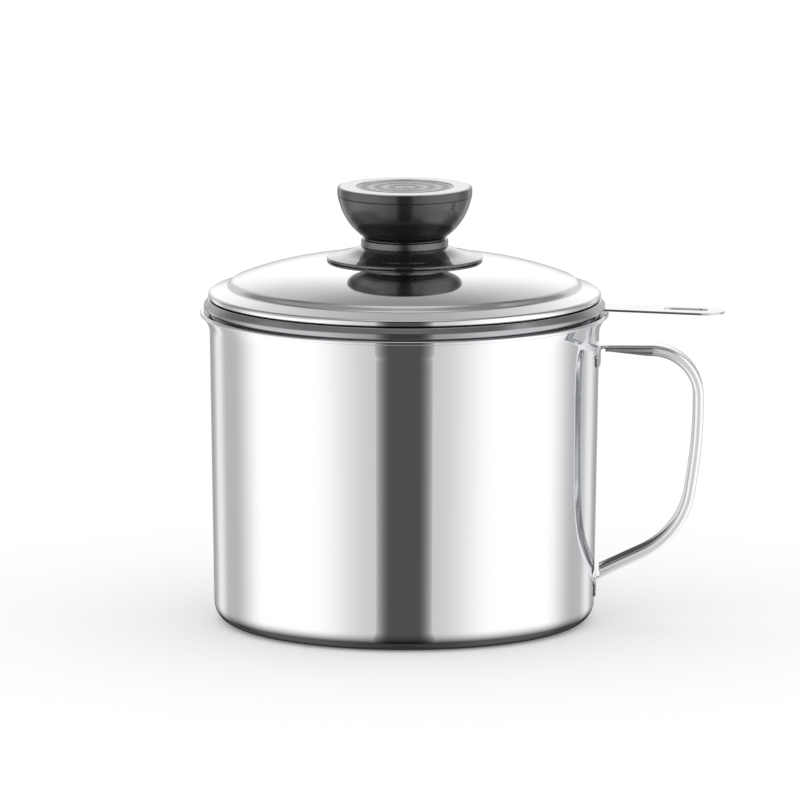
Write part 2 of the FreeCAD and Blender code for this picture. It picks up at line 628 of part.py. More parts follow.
def make_lid_shell():
    """Spun dome with a flat top for the knob, a sloping brim and a curled edge."""
    foot = f"({LID_RADIUS} - sizes.lid_brim_run)"
    step = f"({foot} - sizes.lid_step_run)"
    corner = f"({step} - sizes.lid_side_run)"
    side_rise = "(sizes.lid_height - sizes.lid_step_height)"
    side_length = f"sqrt(sizes.lid_side_run^2 + {side_rise}^2)"
    side_angle = f"atan({side_rise} / sizes.lid_side_run)"
    side_bend = f"({side_length} - sizes.lid_side_flat) / tan({side_angle} / 2)"
    dome = spun_sheet("lid_dome", [
        (f"{LID_RADIUS} - sizes.lid_curl_return", "0", ""),
        (LID_RADIUS, "0", "sizes.lid_curl"),
        (LID_RADIUS, "sizes.lid_curl_height", "sizes.lid_curl"),
        (foot, "sizes.lid_brim_height", "sizes.lid_foot_bend"),
        (step, "sizes.lid_step_height", "sizes.lid_step_bend"),
        (corner, "sizes.lid_height", side_bend),
        ("0", "sizes.lid_height", ""),
    ], "sizes.lid_sheet")
    hole = doc.addObject("Part::Cylinder", "lid_screw_hole")
    hole.setExpression("Radius", SHANK_BORE)
    hole.setExpression("Height", "2 * sizes.lid_height")
    shell = cut("lid_shell", dome, hole)
    shell.setExpression("Placement.Base.z", LID_BOTTOM)
    return shell


def knob_piece(name, corners):
    """Turned piece of the knob, in its place on the lid's flat top."""
    body = turned_body(name, corners)
    body.setExpression("Placement.Base.z", LID_TOP)
    return body


def make_knob_skirt():
    """Moulded flare that keeps fingers off the dome, hollow between its hub and its edge."""
    hub = "(sizes.collar_radius - sizes.skirt_hub_inset)"
    hollow = "(sizes.skirt_height - sizes.skirt_wall)"
    waist = "(sizes.skirt_waist_height - sizes.skirt_wall)"
    waist_radius = "(sizes.collar_radius + sizes.skirt_waist_run)"
    return knob_piece("knob_skirt", [
        (SHANK_BORE, "0", ""),
        (hub, "0", ""),
        (hub, hollow, ""),
        ("sizes.collar_radius", hollow, ""),
        (waist_radius, waist, ""),
        ("sizes.skirt_radius - sizes.skirt_land", "0", ""),
        ("sizes.skirt_radius", "0", ""),
        ("sizes.skirt_radius", "sizes.skirt_edge", "sizes.skirt_rounding"),
        (waist_radius, "sizes.skirt_waist_height", "sizes.skirt_waist_bend"),
        ("sizes.collar_radius", "sizes.skirt_height", ""),
        (SHANK_BORE, "sizes.skirt_height", ""),
    ])


def make_knob_collar():
    """Polished ring round the knob's neck."""
    return knob_piece("knob_collar", [
        (NECK_BORE, "sizes.skirt_height", ""),
        ("sizes.collar_radius", "sizes.skirt_height", "sizes.collar_edge"),
        ("sizes.collar_radius", BOWL_FOOT, "sizes.collar_edge"),
        (NECK_BORE, BOWL_FOOT, ""),
    ])


def make_knob_body():
    """Moulded bowl with a neck inside the ring and a pocket for the insert."""
    neck = f"({NECK_BORE} - sizes.neck_gap)"
    pocket = "(sizes.insert_radius + sizes.insert_gap)"
    foot = "(sizes.collar_radius - sizes.bowl_foot_inset)"
    core_floor = f"({SEAM} - sizes.bowl_core_depth)"
    return knob_piece("knob_body", [
        (pocket, "sizes.skirt_height", ""),
        (neck, "sizes.skirt_height", ""),
        (neck, BOWL_FOOT, ""),
        (foot, BOWL_FOOT, ""),
        (foot, f"{BOWL_FOOT} + sizes.bowl_foot_land", ""),
        ("sizes.bowl_cheek_radius", f"{BOWL_FOOT} + sizes.bowl_cheek_height",
         "sizes.bowl_cheek_bend"),
        ("sizes.bowl_radius", SEAM, "sizes.seam_edge"),
        ("sizes.bowl_core_radius", SEAM, ""),
        ("sizes.bowl_core_radius", core_floor, "sizes.bowl_core_bend"),
        (pocket, core_floor, ""),
    ])


def make_knob_bezel():
    """Moulded ring above the seam, with a lip round the cap plate."""
    return knob_piece("knob_bezel", [
        ("sizes.bezel_bore", SEAM, ""),
        ("sizes.bowl_radius", SEAM, "sizes.seam_edge"),
        ("sizes.bowl_radius", BEZEL_TOP, "sizes.bezel_edge"),
        (CAP_SEAT, BEZEL_TOP, ""),
        (CAP_SEAT, CAP_FOOT, ""),
        ("sizes.bezel_bore", CAP_FOOT, ""),
    ])


def make_knob_cap_plate():
    """Polished plate with a sunk middle, located by a boss in the bezel."""
    edge = f"({CAP_SEAT} - sizes.cap_inset)"
    boss = "(sizes.bezel_bore - sizes.cap_boss_gap)"
    top = f"({CAP_FOOT} + sizes.cap_height)"
    return knob_piece("knob_cap_plate", [
        ("0", f"{CAP_FOOT} - sizes.cap_boss_height", ""),
        (boss, f"{CAP_FOOT} - sizes.cap_boss_height", ""),
        (boss, CAP_FOOT, ""),
        (edge, CAP_FOOT, ""),
        (edge, top, "sizes.cap_edge"),
        ("sizes.cap_dish_radius", top, ""),
        ("sizes.cap_dish_radius", f"{top} - sizes.cap_dish_depth", ""),
        ("0", f"{top} - sizes.cap_dish_depth", ""),
    ])


def make_knob_insert():
    """Brass insert that takes the screw."""
    bore = "(sizes.screw_radius + sizes.screw_gap)"
    top = "(sizes.skirt_height + sizes.insert_height)"
    return knob_piece("knob_insert", [
        (bore, "sizes.skirt_height", ""),
        ("sizes.insert_radius", "sizes.skirt_height", ""),
        ("sizes.insert_radius", top, ""),
        (bore, top, ""),
    ])


def make_knob_washer():
    """Flat washer inside the lid."""
    return knob_piece("knob_washer", [
        (SHANK_BORE, HEAD_TOP, ""),
        ("sizes.washer_radius", HEAD_TOP, ""),
        ("sizes.washer_radius", WASHER_TOP, ""),
        (SHANK_BORE, WASHER_TOP, ""),
    ])


def make_knob_screw():
    """Pan-head screw from below, through the washer, lid and skirt into the insert."""
    head_bottom = f"({HEAD_TOP} - sizes.screw_head_height)"
    return knob_piece("knob_screw", [
        ("0", head_bottom, ""),
        ("sizes.screw_head_radius", head_bottom, "sizes.screw_head_bend"),
        ("sizes.screw_head_radius", HEAD_TOP, ""),
        ("sizes.screw_radius", HEAD_TOP, ""),
        ("sizes.screw_radius", "sizes.screw_reach", ""),
        ("0", "sizes.screw_reach", ""),
    ])


# --- build, test and write --------------------------------------------------------------------

nodes = [
    make_pot_body(),
    make_pot_handle(),
    make_strainer_rim(),
    make_strainer_mesh(),
    make_strainer_hoop(),
    make_strainer_handle(),
    make_lid_shell(),
    make_knob_skirt(),
    make_knob_collar(),
    make_knob_body(),
    make_knob_bezel(),
    make_knob_cap_plate(),
    make_knob_insert(),
    make_knob_washer(),
    make_knob_screw(),
]
doc.recompute()

for feature in doc.Objects:
    if {"Invalid", "Error"} & set(feature.State):
        raise RuntimeError(f"{feature.Label} did not build")
for node in nodes:
    if node.Shape.isNull() or not node.Shape.isValid() or len(node.Shape.Solids) != 1:
        raise RuntimeError(f"{node.Label} is not one valid solid")

os.makedirs("parts", exist_ok=True)
for node in nodes:
    node.Shape.exportStep(f"parts/{node.Label}.step")
    print(f"{node.Label}: {node.Shape.Volume / 1000:.2f} cm3")
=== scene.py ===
import math

import bmesh
import bpy
from mathutils import Matrix, Vector


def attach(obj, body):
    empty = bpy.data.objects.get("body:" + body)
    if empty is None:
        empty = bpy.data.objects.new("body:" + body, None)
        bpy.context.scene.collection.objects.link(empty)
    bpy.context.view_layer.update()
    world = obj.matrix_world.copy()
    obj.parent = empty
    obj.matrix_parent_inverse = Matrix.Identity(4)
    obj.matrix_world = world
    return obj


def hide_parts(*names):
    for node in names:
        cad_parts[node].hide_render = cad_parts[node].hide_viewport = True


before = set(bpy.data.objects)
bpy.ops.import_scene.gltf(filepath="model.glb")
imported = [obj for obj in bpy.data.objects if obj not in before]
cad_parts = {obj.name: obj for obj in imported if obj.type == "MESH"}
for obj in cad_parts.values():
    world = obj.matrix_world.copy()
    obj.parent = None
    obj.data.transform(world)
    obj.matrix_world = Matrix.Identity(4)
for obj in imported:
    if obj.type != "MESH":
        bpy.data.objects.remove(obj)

# A grease container: a drawn and mirror-polished stainless pot with a strap handle, a
# strainer that hangs in its flared rim, and a domed lid with a black turned knob.
# Lengths are millimetres up to the moment when a mesh is made, and metres after that.
# +Z is up and both handles lie along +X. A section is a line of (radius, height) points.

MM = 0.001
ARC_STEP = math.radians(5.0)
ARC_CHORD = 1.2
LEAST_ARC_STEPS = 4
BESIDE_ARC = 0.03
SHARP_ANGLE = math.radians(35.0)
MERGE_DISTANCE = 0.0005
TINY = 1e-6
LATHE_SEGMENTS = 256

# Settings of nodes that come back often.
SMOOTH = {"interpolation_type": "SMOOTHSTEP"}
PLUS = {"operation": "ADD"}
MINUS = {"operation": "SUBTRACT"}
TIMES = {"operation": "MULTIPLY"}
TIMES_PLUS = {"operation": "MULTIPLY_ADD"}
DIVIDED = {"operation": "DIVIDE"}
ROUNDED = {"operation": "ROUND"}
LENGTH = {"operation": "LENGTH"}
FLOAT_MIX = {"data_type": "FLOAT"}
COLOUR_MIX = {"data_type": "RGBA"}

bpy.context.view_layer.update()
scene = bpy.context.scene


# --- small helpers ----------------------------------------------------------------------------


def colour(hex_code):
    """Linear RGBA from an sRGB hex code."""
    channels = [int(hex_code[i:i + 2], 16) / 255 for i in (1, 3, 5)]
    linear = [c / 12.92 if c <= 0.04045 else ((c + 0.055) / 1.055) ** 2.4 for c in channels]
    return (*linear, 1.0)


def add(tree, kind, settings=None, **inputs):
    """A node with its settings. An input is given by its name, or as in0 by its number:
    a value, a socket to link, or a node whose output is linked."""
    node = tree.nodes.new(kind)
    for key, value in (settings or {}).items():
        setattr(node, key, value)
    for key, value in inputs.items():
        name = key.replace("_", " ").lower()
        if key[2:].isdigit():
            socket = node.inputs[int(key[2:])]
        else:
            socket = next(s for s in node.inputs if s.name.lower() == name and s.enabled)
        if isinstance(value, bpy.types.Node):
            value = next(s for s in value.outputs if s.enabled)
        if isinstance(value, bpy.types.NodeSocket):
            tree.links.new(value, socket)
        else:
            socket.default_value = value
    return node


def material(name):
    """A new material with an empty node tree."""
    made = bpy.data.materials.new(name)
    made.use_nodes = True
    made.node_tree.nodes.clear()
    return made, made.node_tree


def dress(node_names, made):
    """Give CAD nodes their material."""
    for name in node_names:
        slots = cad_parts[name].data.materials
        slots.clear()
        slots.append(made)


def show(name, mesh, made, body, slot, *nodes):
    """Put a mesh in the scene as the piece of a body that stands for CAD nodes."""
    mesh.materials.clear()
    mesh.materials.append(made)
    piece = bpy.data.objects.new(name, mesh)
    scene.collection.objects.link(piece)
    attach(piece, body)
    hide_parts(*nodes)
    return piece


def left_of(direction):
    """Unit vector on the left of a direction."""
    return Vector((-direction.y, direction.x))


def rounded_line(corners, closed=False, run_step=None):
    """Points with their directions along straight runs whose corners are rounded.

    A corner is (across, up, bend). A bend has a point every few degrees and one more on
    the run just before and just after it, so that the runs stay flat when shaded.
    """
    count = len(corners)
    places = [Vector(corner[:2]) for corner in corners]
    stops = []
    for i, place in enumerate(places):
        bend = corners[i][2] if len(corners[i]) > 2 else 0
        if not bend or (not closed and i in (0, count - 1)):
            stops.append((place, place, 0, 0))
            continue
        back = (places[i - 1] - place).normalized()
        ahead = (places[(i + 1) % count] - place).normalized()
        half = back.angle(ahead) / 2
        setback = bend / math.tan(half)
        turn = math.pi - 2 * half
        stops.append((place + back * setback, place + ahead * setback, bend, turn))
    line = []
    for i in range(count):
        before, after, bend, turn = stops[i]
        into = out = None
        if i or closed:
            into = (before - places[i - 1]).normalized()
        if i < count - 1 or closed:
            out = (places[(i + 1) % count] - after).normalized()
        into = into or out
        out = out or into
        if not bend:
            line.append((before, into))
            if into.angle(out) > TINY:
                line.append((before, out))
        else:
            sense = 1 if into.x * out.y - into.y * out.x > 0 else -1
            middle = before + left_of(into) * bend * sense
            steps = max(math.ceil(turn / ARC_STEP), math.ceil(turn * bend / ARC_CHORD),
                        LEAST_ARC_STEPS)
            line.append((before - into * BESIDE_ARC, into))
            for k in range(steps + 1):
                spin = Matrix.Rotation(sense * turn * k / steps, 2)
                line.append((middle + spin @ (before - middle), spin @ into))
            line.append((after + out * BESIDE_ARC, out))
        if run_step and i < count - 1:
            run = stops[i + 1][0] - after
            parts = math.ceil(run.length / run_step)
            line.extend((after + run * k / parts, out) for k in range(1, parts))
    return line


def sheet_section(corners, thickness):
    """Closed section of a sheet whose other face lies on the left of a line."""
    line = rounded_line(corners)
    faces = [point for point, direction in line]
    return faces + [point + left_of(direction) * thickness for point, direction in line[::-1]]


def solid_section(corners):
    """Closed section of a solid with rounded corners."""
    points = []
    for point, direction in rounded_line(corners, closed=True):
        if not points or (point - points[-1]).length > TINY:
            points.append(point)
    return points


def closed_mesh(name, points, faces):
    """Mesh from points in millimetres, its faces turned outwards and its edges shaded."""
    mesh = bpy.data.meshes.new(name)
    mesh.from_pydata([Vector(point) * MM for point in points], [], faces)
    shape = bmesh.new()
    shape.from_mesh(mesh)
    bmesh.ops.remove_doubles(shape, verts=shape.verts, dist=MERGE_DISTANCE * MM)
    bmesh.ops.recalc_face_normals(shape, faces=shape.faces)
    shape.to_mesh(mesh)
    shape.free()
    mesh.shade_smooth()
    mesh.set_sharp_from_angle(angle=SHARP_ANGLE)
    return mesh


def turned(name, section, rise=0.0, segments=LATHE_SEGMENTS):
    """Mesh of a closed section turned about Z. A point on the axis makes no ring."""
    points, rings = [], []
    for radius, height in section:
        ring = []
        for k in range(1 if abs(radius) < TINY else segments):
            angle = 2 * math.pi * k / segments
            ring.append(len(points))
            points.append((radius * math.cos(angle), radius * math.sin(angle), height + rise))
        rings.append(ring)
    faces = []
    for i, ring in enumerate(rings):
        other = rings[(i + 1) % len(rings)]
        if len(ring) == len(other) == 1:
            continue
        for k in range(segments):
            corners = [ring[k % len(ring)], ring[(k + 1) % len(ring)],
                       other[(k + 1) % len(other)], other[k % len(other)]]
            faces.append(list(dict.fromkeys(corners)))
    return closed_mesh(name, points, faces)


# --- materials --------------------------------------------------------------------------------

# Spacing of the wide light and dark rings painted into a turned face's middle as reflection.
REFLECTION_RING_SPACING = 4.2
MIDDLE_BLEND = 0.1


def polished_steel(name, haze_low, haze_high, hex_code="#E4E5E7"):
    """Polished 304 stainless: a clear reflection, with the faint haze and fine circular
    lines that a buffing wheel leaves on a spun part. More haze softens the reflection."""
    made, tree = material(name)
    place = add(tree, "ShaderNodeTexCoord").outputs["Object"]
    haze = add(tree, "ShaderNodeTexNoise", Vector=place, Scale=60.0, Detail=4.0, Roughness=0.6)
    haze_range = add(tree, "ShaderNodeMapRange", Value=haze, From_Min=0.35, From_Max=0.7,
                     To_Min=haze_low, To_Max=haze_high)
    lines_place = add(tree, "ShaderNodeMapping", Vector=place, Scale=(12.0, 12.0, 2400.0))
    lines = add(tree, "ShaderNodeTexNoise", Vector=lines_place, Scale=1.0, Detail=3.0)
    bump = add(tree, "ShaderNodeBump", Height=lines, Strength=0.02, Distance=0.00002)
    steel = add(tree, "ShaderNodeBsdfPrincipled", Base_Color=colour(hex_code),
                Metallic=1.0, Roughness=haze_range, Normal=bump)
    add(tree, "ShaderNodeOutputMaterial", Surface=steel)
    return made


def wave_scale(spacing_mm):
    """Scale of a wave texture whose rings stand this far apart."""
    return 2 * math.pi / (20 * spacing_mm * MM)


def turned_steel(name, hex_code, middle_hex, middle_mm, roughness, spacing_mm, upright):
    """Stainless left off the lathe: fine even rings from the tool, a soft wide shine and
    small specks in it. The rings lie over each other on an upright face, round the axis
    on a level one. Inside a radius the colour is darker, in wide light and dark rings
    with specks: a painted reflection of the turned face."""
    made, tree = material(name)
    place = add(tree, "ShaderNodeTexCoord").outputs["Object"]
    round_axis = {"wave_type": "RINGS", "rings_direction": "Z"}
    over_each_other = {"wave_type": "BANDS", "bands_direction": "Z"}
    rings = add(tree, "ShaderNodeTexWave", over_each_other if upright else round_axis,
                Vector=place, Scale=wave_scale(spacing_mm), Distortion=0.6, Detail=2.0,
                Detail_Scale=2.0)
    specks = add(tree, "ShaderNodeTexNoise", Vector=place, Scale=1500.0, Detail=3.0,
                 Roughness=0.7)
    mixed = add(tree, "ShaderNodeMath", TIMES_PLUS, in0=specks, in1=0.8, in2=rings)
    bump = add(tree, "ShaderNodeBump", Height=mixed, Strength=0.35, Distance=0.00003)
    rough = add(tree, "ShaderNodeMapRange", Value=specks, From_Min=0.3, From_Max=0.7,
                To_Min=roughness - 0.08, To_Max=roughness + 0.08)
    level = add(tree, "ShaderNodeVectorMath", TIMES, in0=place, in1=(1.0, 1.0, 0.0))
    radius = add(tree, "ShaderNodeVectorMath", LENGTH, in0=level)
    outside = add(tree, "ShaderNodeMapRange", Value=radius.outputs["Value"],
                  From_Min=(middle_mm - MIDDLE_BLEND) * MM,
                  From_Max=(middle_mm + MIDDLE_BLEND) * MM)
    # Painted reflection: wide light and dark rings in the colour of the middle.
    painted_reflection_rings = add(tree, "ShaderNodeTexWave", round_axis, Vector=place,
                     Scale=wave_scale(REFLECTION_RING_SPACING), Distortion=1.2, Detail=3.0,
                     Detail_Scale=3.0)
    painted_reflection_share = add(tree, "ShaderNodeMath", TIMES_PLUS, in0=specks, in1=4.0, in2=painted_reflection_rings)
    painted_reflection_share = add(tree, "ShaderNodeMapRange", Value=painted_reflection_share, From_Min=1.9, From_Max=4.1)
    middle = add(tree, "ShaderNodeMix", COLOUR_MIX, Factor=painted_reflection_share, A=colour(middle_hex),
                 B=colour(hex_code))
    shade = add(tree, "ShaderNodeMix", COLOUR_MIX, Factor=outside, A=middle,
                B=colour(hex_code))
    steel = add(tree, "ShaderNodeBsdfPrincipled", Base_Color=shade, Metallic=1.0,
                Roughness=rough, Normal=bump)
    add(tree, "ShaderNodeOutputMaterial", Surface=steel)
    return made


def black_phenolic(name, low, high, polish):
    """Moulded phenolic: deep black with a smooth skin and a slight orange peel. Polish is
    a clear skin over it, which mirrors brightly where it is seen at a low angle."""
    made, tree = material(name)
    place = add(tree, "ShaderNodeTexCoord").outputs["Object"]
    peel = add(tree, "ShaderNodeTexNoise", Vector=place, Scale=900.0, Detail=2.0)
    bump = add(tree, "ShaderNodeBump", Height=peel, Strength=0.05, Distance=0.0001)
    skin = add(tree, "ShaderNodeMapRange", Value=peel, To_Min=low, To_Max=high)
    plastic = add(tree, "ShaderNodeBsdfPrincipled", Base_Color=colour("#1E1E1E"),
                  Roughness=skin, Normal=bump, IOR=1.6, Coat_Weight=polish,
                  Coat_Roughness=0.05)
    plastic.inputs["Specular IOR Level"].default_value = 0.8
    add(tree, "ShaderNodeOutputMaterial", Surface=plastic)
    return made


def dull_metal(name, hex_code, roughness):
    """A metal left as it was machined, plated or drawn, with a fine cloudy grain."""
    made, tree = material(name)
    place = add(tree, "ShaderNodeTexCoord").outputs["Object"]
    grain = add(tree, "ShaderNodeTexNoise", Vector=place, Scale=700.0, Detail=3.0)
    rough = add(tree, "ShaderNodeMapRange", Value=grain,
                To_Min=roughness - 0.06, To_Max=roughness + 0.06)
    bump = add(tree, "ShaderNodeBump", Height=grain, Strength=0.1, Distance=0.00003)
    metal = add(tree, "ShaderNodeBsdfPrincipled", Base_Color=colour(hex_code),
                Metallic=1.0, Roughness=rough, Normal=bump)
    add(tree, "ShaderNodeOutputMaterial", Surface=metal)
    return made


STEEL = polished_steel("mirror_polished_stainless", 0.03, 0.06)
TAB_STEEL = polished_steel("pressed_stainless", 0.1, 0.16, "#CFD0D2")
LID_STEEL = polished_steel("buffed_stainless", 0.05, 0.08)
# The strainer rim's darker colour is painted shade, for the shadowed gap under the lid's curl;
# its haze is the metal's own.
SHADED_RIM_STEEL = polished_steel("rim_stainless_painted_shade", 0.08, 0.14, "#AAABAD")
RING_STEEL = turned_steel("fine_turned_stainless", "#717275", "#717275", middle_mm=1.0,
                          roughness=0.24, spacing_mm=0.28, upright=True)
# The cap plate's darker middle, set in wide light and dark rings, is painted reflection of its
# turned face.
CAP_STEEL = turned_steel("spun_face_painted_reflection", "#DADBDD", "#434446", middle_mm=14.9,
                         roughness=0.32, spacing_mm=0.45, upright=False)
PHENOLIC = black_phenolic("moulded_black_phenolic", 0.13, 0.19, 0.0)
SKIRT_PHENOLIC = black_phenolic("polished_black_phenolic", 0.05, 0.09, 1.0)
BRASS = dull_metal("machined_brass", "#D8B97A", 0.28)
ZINC = dull_metal("zinc_plated_steel", "#C9CCD0", 0.34)
WIRE = dull_metal("woven_stainless_wire", "#D2D3D5", 0.22)

dress(["strainer_hoop"], STEEL)
dress(["strainer_handle"], TAB_STEEL)
dress(["knob_insert"], BRASS)
dress(["knob_washer"], ZINC)


# --- pot --------------------------------------------------------------------------------------

POT_SHEET = 0.6
POT_CORNER = 6.2
WALL_FOOT_RADIUS = 58.2
WALL_TOP_RADIUS = 59.6
FLARE_FOOT = 90.8
FLARE_BEND = 7.0
BEAD_CENTRE = Vector((61.85, 95.2))
BEAD_RADIUS = 0.65
BEAD_STEPS = 40


def wall_radius(height):
    """Outside of the pot's tapered wall at a height."""
    return WALL_FOOT_RADIUS + (WALL_TOP_RADIUS - WALL_FOOT_RADIUS) * height / FLARE_FOOT


def make_pot():
    """Drawn cup whose flared rim ends in a small rolled bead."""
    line = rounded_line([(0, 0), (WALL_FOOT_RADIUS, 0, POT_CORNER),
                         (WALL_TOP_RADIUS, FLARE_FOOT, FLARE_BEND), tuple(BEAD_CENTRE)])[:-1]
    up = (BEAD_CENTRE - Vector((WALL_TOP_RADIUS, FLARE_FOOT))).normalized()
    outside = [point for point, direction in line]
    outside.append(BEAD_CENTRE - up * (BEAD_RADIUS + BESIDE_ARC))
    start = math.atan2(-up.y, -up.x)
    left_open = math.acos(math.sqrt(BEAD_RADIUS ** 2 - POT_SHEET ** 2) / BEAD_RADIUS)
    bead = []
    for k in range(BEAD_STEPS + 1):
        angle = start + (2 * math.pi - left_open) * k / BEAD_STEPS
        bead.append(BEAD_CENTRE + BEAD_RADIUS * Vector((math.cos(angle), math.sin(angle))))
    inside = [bead[-1] - up * BESIDE_ARC]
    inside += [point + left_of(direction) * POT_SHEET for point, direction in line[::-1]]
    mesh = turned("pot_body_polished", outside + bead + inside)
    show("pot_body_polished", mesh, STEEL, "pot", "polished_steel", "pot_body")


# --- pot handle -------------------------------------------------------------------------------

STRAP_SHEET = 0.9
STRAP_HALF_WIDTH = 4.65
STRAP_EDGE_RUN = 1.3
STRAP_EDGE_DROP = 1.7
STRAP_EDGE_STEPS = 14
# The lip turns out along a curve: how far down the flange, and how much of its reach.
LIP_CURVE = ((0.06, 0.02), (0.16, 0.12), (0.28, 0.3), (0.4, 0.54), (0.52, 0.76),
             (0.62, 0.92), (0.7, 1.0))
LIP_END = 0.72
LIP_END_STEPS = 8
LIP_HALF_WIDTH = 5.0
FLANGE_DEPTH = 3.2
ROOT_DEPTH = 1.5
NO_FLANGE = STRAP_SHEET + 0.05
FOOT_SHEET = 0.4
UPPER_CROWN = 0.52
ARM_TOP = 85.7
ARM_ROOT = 59.02
TAPER_START = ARM_ROOT + 0.5
TAPER_END = 74.5
HALF_WAY_UP = 60.0
FEET_WITHIN = 62.0
FOOT_HEIGHT = 12.9
FLANGE_FROM_WALL = 1.8
SHEAR_RUN = 8.0
SHEAR_FROM_WALL = (1.0, 12.0)
STATION_STEP = 2.0
# Height of a foot's lower and upper edge, half its width and the fall of its shoulders.
FEET = ((8.1, FOOT_HEIGHT, 7.3, 0.6), (79.8, 85.2, 12.5, 2.0))
PLATE_GAP = 0.1
PLATE_SHEET = 0.5
PLATE_CORNER = 1.4
PLATE_STEPS = 24


def strap_loop(depth, crown, sheet):
    """Closed section of the strap: (across, down), from its outer line inwards."""
    scale = max(depth - STRAP_SHEET, 0.0) / (FLANGE_DEPTH - STRAP_SHEET)
    full = depth * sheet / STRAP_SHEET
    drop = min(STRAP_EDGE_DROP, 0.8 * full)
    reach = full - drop
    flat = STRAP_HALF_WIDTH - STRAP_EDGE_RUN
    side = []
    for k in range(STRAP_EDGE_STEPS + 1):
        angle = math.pi / 2 * k / STRAP_EDGE_STEPS
        side.append((flat + STRAP_EDGE_RUN * math.sin(angle), drop * (1 - math.cos(angle))))
    lip_out = (LIP_HALF_WIDTH - STRAP_HALF_WIDTH) * scale
    for share, out in LIP_CURVE:
        side.append((STRAP_HALF_WIDTH + lip_out * out, drop + share * reach))
    edge = STRAP_SHEET * 0.5
    centre_across = STRAP_HALF_WIDTH + lip_out - edge
    base = drop + LIP_END * reach
    for k in range(1, LIP_END_STEPS):
        angle = math.pi * k / LIP_END_STEPS
        side.append((centre_across + edge * math.cos(angle),
                     base + min(edge, (1 - LIP_END) * reach) * math.sin(angle)))
    side.append((centre_across - edge, base))
    inner = STRAP_HALF_WIDTH - STRAP_SHEET
    bend = max(drop - sheet, 0.0)
    side.append((inner, max(sheet + 0.02, base - 0.45 * reach)))
    side.append((inner - 0.02, sheet + 0.015 + 0.8 * bend))
    side.append((inner - 0.25, sheet + 0.01 + 0.27 * bend))
    side.append((flat, sheet))
    points = [(0.0, 0.0)] + side + [(0.0, sheet)]
    mirrored = [(-across, down) for across, down in side[::-1]]
    return [(across, crown + down) for across, down in points + mirrored]


def strap_stations():
    """Places along the strap: point, direction and depth of its edge there.

    Where the flanges begin, two places lie close together, so that they end squarely."""
    lower_face = wall_radius(FOOT_HEIGHT) + 0.5
    line = rounded_line([
        (lower_face, 8.6), (lower_face, FOOT_HEIGHT, 1.6), (87.0, 25.9, 27.0),
        (91.6, 57.0, 150.0), (91.6, ARM_TOP, 16.0), (ARM_ROOT, ARM_TOP, 1.6),
        (ARM_ROOT, 80.8)], run_step=STATION_STEP)
    stations = []
    for point, direction in line:
        if point.x - wall_radius(point.y) < FLANGE_FROM_WALL:
            depth = NO_FLANGE
        elif point.y > HALF_WAY_UP:
            share = (point.x - TAPER_START) / (TAPER_END - TAPER_START)
            depth = ROOT_DEPTH + (FLANGE_DEPTH - ROOT_DEPTH) * min(max(share, 0.0), 1.0)
        else:
            depth = FLANGE_DEPTH
        stations.append([point, direction, depth])
    result = []
    for i, (point, direction, depth) in enumerate(stations):
        if i and (depth == NO_FLANGE) != (stations[i - 1][2] == NO_FLANGE):
            before, after = stations[i - 1], stations[i]
            low, high = (before, after) if before[2] == NO_FLANGE else (after, before)
            gap = high[0] - low[0]
            want = FLANGE_FROM_WALL - (low[0].x - wall_radius(low[0].y))
            share = want / max(gap.x, TINY)
            middle = low[0] + gap * min(max(share, 0.05), 0.95)
            pair = [(middle, high[1], NO_FLANGE),
                    (middle + gap.normalized() * BESIDE_ARC, high[1], high[2])]
            result.extend(pair if low is before else pair[::-1])
        result.append((point, direction, depth))
    return result


def make_pot_handle():
    """Pressed strap with turned-down edges, its ends flattened on two welded feet."""
    points, faces = [], []
    stations = strap_stations()
    for point, direction, depth in stations:
        foot = abs(direction.y) > 0.98 and point.x < FEET_WITHIN
        upper = point.y > HALF_WAY_UP
        sheet = FOOT_SHEET if foot else STRAP_SHEET
        crown = UPPER_CROWN if foot and upper else 0.0
        loop = strap_loop(depth, crown, sheet)
        count = len(loop)
        inside = left_of(direction)
        clear = point.x - wall_radius(point.y)
        lean = 0.0
        if not upper and not foot and SHEAR_FROM_WALL[0] < clear < SHEAR_FROM_WALL[1]:
            shear = max(0.0, 1.0 - (clear - FLANGE_FROM_WALL) / SHEAR_RUN)
            lean = shear * direction.y / direction.x
        for across, down in loop:
            slide = lean * max(down - STRAP_SHEET, 0.0)
            place = point + inside * down + direction * slide
            points.append((place.x, across, place.y))
    for i in range(len(stations) - 1):
        for k in range(count):
            a, b = i * count + k, i * count + (k + 1) % count
            faces.append((a, b, b + count, a + count))
    last = (len(stations) - 1) * count
    faces.append(list(range(count))[::-1])
    faces.append([last + k for k in range(count)])
    for low, high, half_width, slope in FEET:
        add_foot(points, faces, low, high, half_width, slope)
    mesh = closed_mesh("pot_handle_strap", points, faces)
    show("pot_handle_strap", mesh, STEEL, "pot", "polished_steel", "pot_handle")


